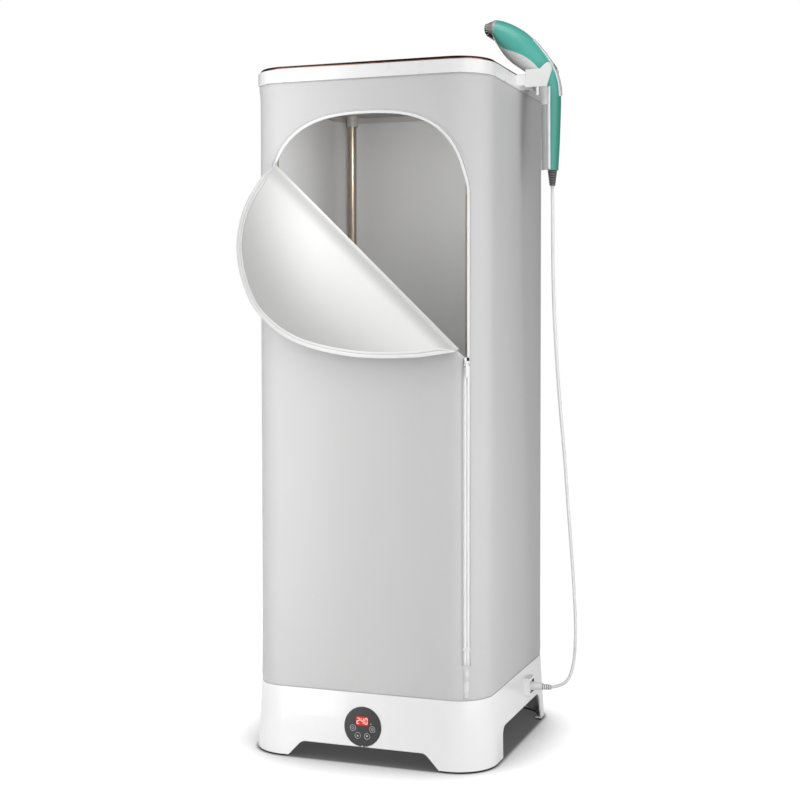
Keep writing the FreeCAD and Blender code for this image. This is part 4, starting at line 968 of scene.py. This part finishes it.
def stitch_profile(width):
    """The grey thread that lies in the groove of a tape."""
    groove = width * GROOVE_SHARE
    low = ZIP_H - GROOVE_DEEP
    return [
        (groove - THREAD_HALF, low), (groove - THREAD_TOP, low + THREAD_H),
        (groove + THREAD_TOP, low + THREAD_H), (groove + THREAD_HALF, low),
    ]


def tail_profile(half):
    """The clear film below the zip, highest along its middle."""
    return [(-half, -TAIL_SINK), (-half, TAIL_EDGE), (0, TAIL_H), (half, TAIL_EDGE), (half, -TAIL_SINK)]


def zip_line(x, start, end, steps):
    return [on_front(x, start + (end - start) * i / steps) for i in range(steps + 1)]


def frame_path():
    """From the fold's left end over the arch and down the right side to the foot of the zip."""
    path = [on_front(p.x, p.y) for p in reversed(mouth_outline())]
    return path + zip_line(MOUTH_RIGHT, FOLD_B.y, ZIP_FOOT, ZIP_STEPS)[1:]


def make_zip():
    path = frame_path()
    tape = ribbon("zip_frame", path, band_profile(ZIP_TAPE), TAPE_CLOTH)
    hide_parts("zip_tape_frame")
    hem = ribbon("zip_hem", path, hem_profile(ZIP_TAPE), HEM)
    low_path = zip_line(ZIP_X - ZIP_SLOT / 2, SLIDER_Z - SLIDER_GAP, ZIP_FOOT, ZIP_STEPS)[::-1]
    low = ribbon("zip_low", low_path, band_profile(ZIP_LOW_TAPE), TAPE_CLOTH)
    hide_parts("zip_tape_low")
    low_hem = ribbon("zip_low_hem", low_path, hem_profile(ZIP_LOW_TAPE), HEM)
    chain = teeth(path)
    tail_path = zip_line(ZIP_X, ZIP_FOOT, TAIL_FOOT, TAIL_STEPS)
    tail = ribbon("zip_tail_film", tail_path, tail_profile(ZIP_TAPE), FILM)
    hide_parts("zip_tail")
    for piece in (tape, hem, low, low_hem, chain, tail):
        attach(piece, "cabinet")


# Flap

def through(points, count):
    """Evenly spaced places on a smooth curve through a few points."""
    spots = [Vector(p) for p in points]
    spots = [2 * spots[0] - spots[1]] + spots + [2 * spots[-1] - spots[-2]]
    fine = []
    for a, b, c, d in zip(spots[:-3], spots[1:-2], spots[2:-1], spots[3:]):
        for k in range(CURVE_STEPS):
            t = k / CURVE_STEPS
            bend = (2 * a - 5 * b + 4 * c - d) * t * t + (3 * b - a - 3 * c + d) * t * t * t
            fine.append((2 * b + (c - a) * t + bend) / 2)
    fine.append(spots[-2])
    walked = [0.0]
    for a, b in zip(fine[:-1], fine[1:]):
        walked.append(walked[-1] + (b - a).length)
    even = []
    k = 0
    for i in range(count + 1):
        goal = walked[-1] * i / count
        while k < len(fine) - 2 and walked[k + 1] < goal:
            k += 1
        share = (goal - walked[k]) / (walked[k + 1] - walked[k])
        even.append(fine[k].lerp(fine[k + 1], share))
    return even


def flap_rim():
    """Places along the fold, each with its point of the free edge, along and away from the fold."""
    edge = through(FLAP_RIM, FLAP_COLUMNS)
    first, last = edge[0].x, edge[-1].x
    pairs = []
    for i, spot in enumerate(edge):
        start = first + (last - first) * (1 - math.cos(math.pi * i / FLAP_COLUMNS)) / 2
        pairs.append((start, spot.x, max(spot.y, 0.0)))
    return pairs


def flap_bow(distance):
    return FLAP_SAG * (1 - (2 * distance / FLAP_FAR - 1) ** 2)


def flap_spot(u, over, out):
    """A point along the fold, over it in the front plane and out of that plane."""
    p = FOLD_A + FOLD_WAY * u + FOLD_OVER * over
    return Vector((p.x, FRONT_Y - FLAP_STAND - out, p.y))


def make_flap():
    rows = []
    uv_rows = []
    rim = flap_rim()
    for start, edge_u, edge_h in rim:
        row = []
        uv = []
        for i in range(ROLL_STEPS):
            angle = math.pi * i / ROLL_STEPS
            row.append(flap_spot(start, ROLL_R * math.sin(angle), ROLL_R * (1 - math.cos(angle))))
            uv.append((start, ROLL_R * (angle - math.pi)))
        for i in range(FLAP_ROWS + 1):
            u = start + (edge_u - start) * i / FLAP_ROWS
            distance = edge_h * i / FLAP_ROWS
            row.append(flap_spot(u, -distance, 2 * ROLL_R + flap_bow(distance)))
            uv.append((u, distance))
        rows.append(row)
        uv_rows.append(uv)
    build = bmesh.new()
    grid_faces(build, rows, uv_rows)
    area = sum(f.calc_area() for f in build.faces)
    flap = thicken(mesh_object("flap", build, FLAP_CLOTH), FLAP_T, 0)
    bpy.context.view_layer.update()
    shape = bpy.data.meshes.new_from_object(flap.evaluated_get(bpy.context.evaluated_depsgraph_get()))
    flap.modifiers.clear()
    flap.data = shape
    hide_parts("flap_panel")
    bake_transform(flap)
    edge, line = make_flap_edge(rim)


def make_flap_edge(rim):
    """Binding round the free edge of the flap and the thread in its groove."""
    path = []
    for _, edge_u, edge_h in rim:
        out = 2 * ROLL_R + flap_bow(edge_h) + FLAP_T / 2
        path.append((flap_spot(edge_u, -edge_h, out), Vector((0, -1, 0))))
    profile = tape_profile(FLAP_EDGE, FLAP_T + BINDING_BACK)
    edge = ribbon("flap_binding", path, profile, BINDING, BINDING_TIP)
    line = ribbon("flap_stitch", path, stitch_profile(FLAP_EDGE), STITCH, BINDING_TIP)
    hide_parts("flap_edge")
    for piece in (edge, line):
        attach(piece, "flap")
    return edge, line


# Cord

def cord_line():
    """Points of a smooth curve along the cord's route."""
    curve = bpy.data.curves.new("cord_line", "CURVE")
    curve.dimensions = "3D"
    curve.resolution_u = CORD_FINE
    spline = curve.splines.new("NURBS")
    spline.points.add(len(CORD_ROUTE) - 1)
    for point, at in zip(spline.points, CORD_ROUTE):
        point.co = (*at, 1)
    spline.order_u = CORD_ORDER
    spline.use_endpoint_u = True
    holder = add_object("cord_line", curve)
    points = [v.co.copy() for v in bpy.data.meshes.new_from_object(holder).vertices]
    bpy.data.objects.remove(holder)
    return points


def make_cord():
    points = cord_line()
    build = bmesh.new()
    rings = []
    side = Vector((0, 1, 0))
    for i, at in enumerate(points):
        along = (points[min(i + 1, len(points) - 1)] - points[max(i - 1, 0)]).normalized()
        side = (side - along * side.dot(along)).normalized()
        other = along.cross(side)
        ways = [side * math.cos(angle) + other * math.sin(angle) for angle in turns(CORD_SIDES)]
        rings.append([build.verts.new(at + way * CORD_D / 2) for way in ways])
    capped_skin(build, rings)
    cord = outward_object("steamer_lead", build, CORD)
    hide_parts("steamer_cord")
    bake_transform(cord)


# Panel graphics

def panel_frame():
    lean = math.atan2(BASE_FLARE, BASE_TOP - PAD_H)
    flare = BASE_FLARE * (BASE_TOP - PANEL_Z) / (BASE_TOP - PAD_H)
    turn = Matrix.Rotation(math.pi / 2 - lean, 4, "X")
    turn.translation = (0, FRONT_Y - flare, PANEL_Z)
    return turn


def ink(name, shapes, out, material):
    """Thin raised marks on the panel, each a closed outline of (x, up) points."""
    build = bmesh.new()
    for outline in shapes:
        face = build.faces.new([build.verts.new((x, up, out)) for x, up in outline])
        made = bmesh.ops.extrude_face_region(build, geom=[face])
        bmesh.ops.translate(build, vec=(0, 0, INK_H),
                            verts=[v for v in made["geom"] if isinstance(v, bmesh.types.BMVert)])
    bmesh.ops.transform(build, matrix=panel_frame(), verts=build.verts)
    mark = outward_object(name, build, material)
    for face in mark.data.polygons:
        face.use_smooth = False
    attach(mark, "cabinet")


def bar(x0, y0, x1, y1, width):
    way = Vector((x1 - x0, y1 - y0)).normalized()
    side = Vector((-way.y, way.x)) * width / 2
    a, b = Vector((x0, y0)), Vector((x1, y1))
    return [tuple(a - side), tuple(b - side), tuple(b + side), tuple(a + side)]


def arc(x, y, radius, start, end, steps):
    """Points along an arc, in degrees."""
    angles = [math.radians(start + (end - start) * i / steps) for i in range(steps + 1)]
    return [(x + radius * math.cos(angle), y + radius * math.sin(angle)) for angle in angles]


def arc_band(x, y, radius, width, start, end, steps):
    """Outline of a band along an arc, in degrees."""
    outer = arc(x, y, radius + width / 2, start, end, steps)
    return outer + arc(x, y, radius - width / 2, start, end, steps)[::-1]


def digit(x, y, mark):
    """Bars of one digit on the display, a little short of its corners."""
    half = Vector((DIGIT_W / 2, DIGIT_H / 2))
    bars = []
    for x0, y0, x1, y1 in [BAR_ENDS[name] for name in DIGIT_BARS[mark]]:
        start = Vector((x + x0 * half.x, y + y0 * half.y))
        end = Vector((x + x1 * half.x, y + y1 * half.y))
        trim = (end - start).normalized() * DIGIT_BAR * DIGIT_TRIM
        bars.append(bar(*(start + trim), *(end - trim), DIGIT_BAR))
    return bars


def display_digits():
    shapes = []
    middle = (len(SHOW_NUMBER) - 1) / 2
    for i, mark in enumerate(SHOW_NUMBER):
        shapes += digit(SHOW_AT[0] + (i - middle) * (DIGIT_W + DIGIT_GAP), SHOW_AT[1], mark)
    return shapes


def key_marks():
    """A ring round each key, with a fan, a power sign and two arrows in them."""
    spots = [(-KEY_OUT[0], KEY_OUT[1]), KEY_OUT, (-KEY_IN[0], KEY_IN[1]), KEY_IN]
    icons = [arc_band(x, y, KEY_D / 2 - KEY_RIM, KEY_LINE, 0, RING_END, KEY_STEPS) for x, y in spots]
    for angle in turns(BLADES):
        x = spots[0][0] + BLADE_R * math.cos(angle)
        y = spots[0][1] + BLADE_R * math.sin(angle)
        start = math.degrees(angle) + BLADE_FROM
        icons.append(arc_band(x, y, BLADE_R, BLADE_LINE, start, start + BLADE_SWEEP, BLADE_STEPS))
    x, y = spots[1]
    icons.append(arc_band(x, y, POWER_R, KEY_LINE, POWER_FROM, POWER_TO, POWER_STEPS))
    icons.append(bar(x, y + POWER_LOW, x, y + POWER_HIGH, KEY_LINE))
    for (x, y), up in ((spots[2], 1), (spots[3], -1)):
        foot = y - ARROW_H * up
        icons.append([(x - ARROW_W, foot), (x + ARROW_W, foot), (x, y + ARROW_H * up)])
    return icons


def unit_mark():
    """Short upright bars under one long bar."""
    x, y = MARK_AT
    top = y + MARK_H
    shapes = [bar(x + k * MARK_PITCH, y, x + k * MARK_PITCH, top, MARK_LINE) for k in range(MARK_BARS)]
    end = x + (MARK_BARS - 1) * MARK_PITCH + MARK_LINE / 2
    return shapes + [bar(x - MARK_LINE / 2, top, end, top, MARK_LINE)]


def make_panel():
    ink("display_digits", display_digits(), PANEL_PROUD, DIGIT)
    ink("key_marks", key_marks(), PANEL_PROUD + KEY_PROUD, INK)
    ink("unit_mark", unit_mark(), PANEL_PROUD, INK)
    ink("panel_notch", [arc(0, -PANEL_D / 2, NOTCH_R, 0, 180, NOTCH_STEPS)], PANEL_PROUD, WHITE)


# Steamer

def make_bristles():
    """Short bristles round the steam plate and a row along its middle."""
    low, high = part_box("steam_plate")
    middle = (Vector(low) + Vector(high)) / 2
    half = Vector(high) - middle
    spots = arc(0, 0, BRISTLE_RING, 0, 360, BRISTLES_ROUND)[:-1]
    spots += [((k - BRISTLES_ACROSS // 2) * BRISTLE_PITCH, 0) for k in range(BRISTLES_ACROSS)]
    turn = Matrix.Rotation(math.pi / 2, 4, "Y")
    build = bmesh.new()
    for y, z in spots:
        place = Matrix.Translation((low[0] - BRISTLE_L / 2, middle.y + y * half.y, middle.z + z * half.z))
        bmesh.ops.create_cone(build, cap_ends=True, segments=BRISTLE_SIDES, depth=BRISTLE_L,
                              radius1=BRISTLE_R * BRISTLE_TIP, radius2=BRISTLE_R, matrix=place @ turn)
    bristles = mesh_object("bristles", build, PALE)
    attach(bristles, "steamer")


def make_strips():
    """White strip down each side of the handle, where the teal shell meets the tank."""
    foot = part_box("steamer_teal_shell")[0][2]
    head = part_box("holder_fork")[0][2] + STRIP_OVER
    heights = [foot + STRIP_LIFT + (head - foot) * i / STRIP_STEPS for i in range(STRIP_STEPS + 1)]
    half = STRIP_W / 2
    profile = [(-half, -STRIP_H), (-half, STRIP_H), (half, STRIP_H), (half, -STRIP_H)]
    for name, side in (("strip_front", -1), ("strip_back", 1)):
        path = hits("steamer_teal_shell", [((STRIP_X, side * HALF, z), (0, -side, 0)) for z in heights])
        strip = ribbon(name, path, profile, PALE)
        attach(strip, "steamer")


def rib_profile(width):
    return [(-width / 2, -RIB_H), (-width / 4, RIB_H), (width / 4, RIB_H), (width / 2, -RIB_H)]


def make_tank_ribs():
    """Ribs round the outer half of the water tank."""
    low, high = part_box("steamer_water_tank")
    outs = [Vector((x, y, 0)) for x, y in arc(0, 0, 1, TANK_FROM, TANK_TO, RIB_STEPS)]
    build = bmesh.new()
    for n in range(int((high[2] - low[2] - 2 * RIB_END) / RIB_PITCH) + 1):
        middle = Vector((TANK_X, 0, low[2] + RIB_END + n * RIB_PITCH))
        path = hits("steamer_water_tank", [(middle + out * TANK_CLEAR, -out) for out in outs])
        sweep(build, path, rib_profile(RIB_W))
    ribs = outward_object("tank_ribs", build, TANK)
    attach(ribs, "steamer")


def make_comb():
    """Pale bars along the outer edge of the brush frame, on both sides."""
    low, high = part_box("brush_frame")
    places = [low[0] + COMB_L * (COMB_START + COMB_SHARE * k / COMB_STEPS) for k in range(COMB_STEPS + 1)]
    build = bmesh.new()
    for side in (-1, 1):
        for n in range(1, int((high[2] - low[2]) / COMB_PITCH)):
            z = low[2] + n * COMB_PITCH
            path = hits("brush_frame", [((x, side * HALF, z), (0, -side, 0)) for x in places])
            if len(path) == len(places):
                sweep(build, path, rib_profile(COMB_W))
    comb = outward_object("brush_comb", build, PALE)
    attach(comb, "steamer")


def make_relief_ribs():
    """Ribs round the relief of the cord, wider towards its top."""
    low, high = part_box("cord_relief")
    axis = (Vector(low) + Vector(high)) / 2
    half = RELIEF_RIB_H / 2
    profile = [
        (-RELIEF_RIB_DEEP, -half), (-RELIEF_EDGE, -half), (0, -half / 2),
        (0, half / 2), (-RELIEF_EDGE, half), (-RELIEF_RIB_DEEP, half),
    ]
    build = bmesh.new()
    for n in range(RELIEF_RIBS):
        share = (n + 0.5) / RELIEF_RIBS
        radius = RELIEF_FOOT_R + (high[0] - axis.x - RELIEF_FOOT_R) * share + RELIEF_OUT
        at = Vector((axis.x, axis.y, low[2] + (high[2] - low[2]) * share))
        rings = []
        for angle in turns(RELIEF_SIDES):
            way = Vector((math.cos(angle), math.sin(angle), 0))
            ring = [at + way * (radius + a) + Vector((0, 0, b)) for a, b in profile]
            rings.append([build.verts.new(p) for p in ring])
        skin(build, rings + rings[:1])
    ribs = outward_object("relief_ribs", build, RELIEF)
    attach(ribs, "steamer")


# Stage

def footprint(material):
    """Mask of the painted shadow: 0 on the floor under the base and 1 beside it, with a soft edge."""
    mirror = vector_node(material, "ABSOLUTE", place_of(material))["Vector"]
    beyond = vector_node(material, "SUBTRACT", mirror, (FLAT, FLAT, 0))["Vector"]
    outside = vector_node(material, "MAXIMUM", beyond)["Vector"]
    away = vector_node(material, "LENGTH", outside)["Value"]
    edge = CORNER_R + BASE_FLARE
    return map_range(material, away, edge - UNDER_IN, edge + UNDER_OUT, kind="SMOOTHSTEP")


def floor_material():
    """White floor that is lit evenly for the eye, with a painted shadow close to the base and under it.
    """
    material = new_material("floor_white", grey(0.92), 0.7)
    # Painted shadow from ambient occlusion near the base and from the base's footprint
    near = add_node(material, "ShaderNodeAmbientOcclusion", samples=SHADE_SAMPLES, Distance=SHADE_REACH)
    beside = map_range(material, near.outputs["AO"], SHADE_FROM, SHADE_TO, SHADE_LOW, SHADE_HIGH)
    level = map_range(material, footprint(material), 0, 1, UNDER_SHADOW_LEVEL, beside)
    light = add_node(material, "ShaderNodeEmission", Strength=level).outputs["Emission"]
    paths = add_node(material, "ShaderNodeLightPath").outputs
    seen = math_node(material, "MAXIMUM", paths["Is Camera Ray"], paths["Is Glossy Ray"])
    share = math_node(material, "MULTIPLY", seen, FLOOR_GLOW)
    mix = add_node(material, "ShaderNodeMixShader")
    fill(material, mix, share, shader_of(material).outputs["BSDF"], light)
    give(material, material.node_tree.nodes["Material Output"].inputs["Surface"], mix.outputs["Shader"])
    return material


def make_floor():
    build = bmesh.new()
    bmesh.ops.create_grid(build, x_segments=1, y_segments=1, size=FLOOR_HALF)
    floor = mesh_object("floor", build, floor_material())


def make_world():
    """White to the eye, and a weak light on the object."""
    world = bpy.data.worlds.new("studio")
    bpy.context.scene.world = world
    world.use_nodes = True
    background = world.node_tree.nodes["Background"]
    paths = add_node(world, "ShaderNodeLightPath").outputs
    seen = math_node(world, "MAXIMUM", paths["Is Camera Ray"], paths["Is Transmission Ray"])
    give(world, background.inputs["Color"], (1, 1, 1, 1))
    give(world, background.inputs["Strength"], map_range(world, seen, 0, 1, WORLD_LIGHT))


def add_lamp(name, at, towards, width, height, power):
    lamp = bpy.data.lights.new(name, "AREA")
    lamp.shape = "RECTANGLE"
    lamp.size = width
    lamp.size_y = height
    lamp.energy = power
    obj = add_object(name, lamp)
    obj.location = at
    way = Vector(towards) - Vector(at)
    obj.rotation_euler = way.to_track_quat("-Z", "Y").to_euler()
    obj.visible_camera = False


def make_camera():
    data = bpy.data.cameras.new("camera")
    data.sensor_width = SENSOR_MM
    data.lens = FOCAL_PX * SENSOR_MM / IMAGE
    data.shift_x = (IMAGE / 2 - CENTRE_X_PX) / IMAGE
    data.shift_y = (CENTRE_Y_PX - IMAGE / 2) / IMAGE
    camera = add_object("camera", data)
    camera.location = CAMERA_AT
    camera.rotation_euler = (math.radians(90 - CAMERA_PITCH), 0, math.radians(CAMERA_YAW))
    bpy.context.scene.camera = camera


bpy.context.scene.view_settings.view_transform = "Standard"
make_camera()
make_world()
for lamp_name, lamp_values in LAMPS.items():
    add_lamp(lamp_name, *lamp_values)
make_floor()
dress_nodes()
make_cord()
make_cover()
make_zip()
make_flap()
make_panel()
make_bristles()
make_strips()
make_tank_ribs()
make_comb()
make_relief_ribs()
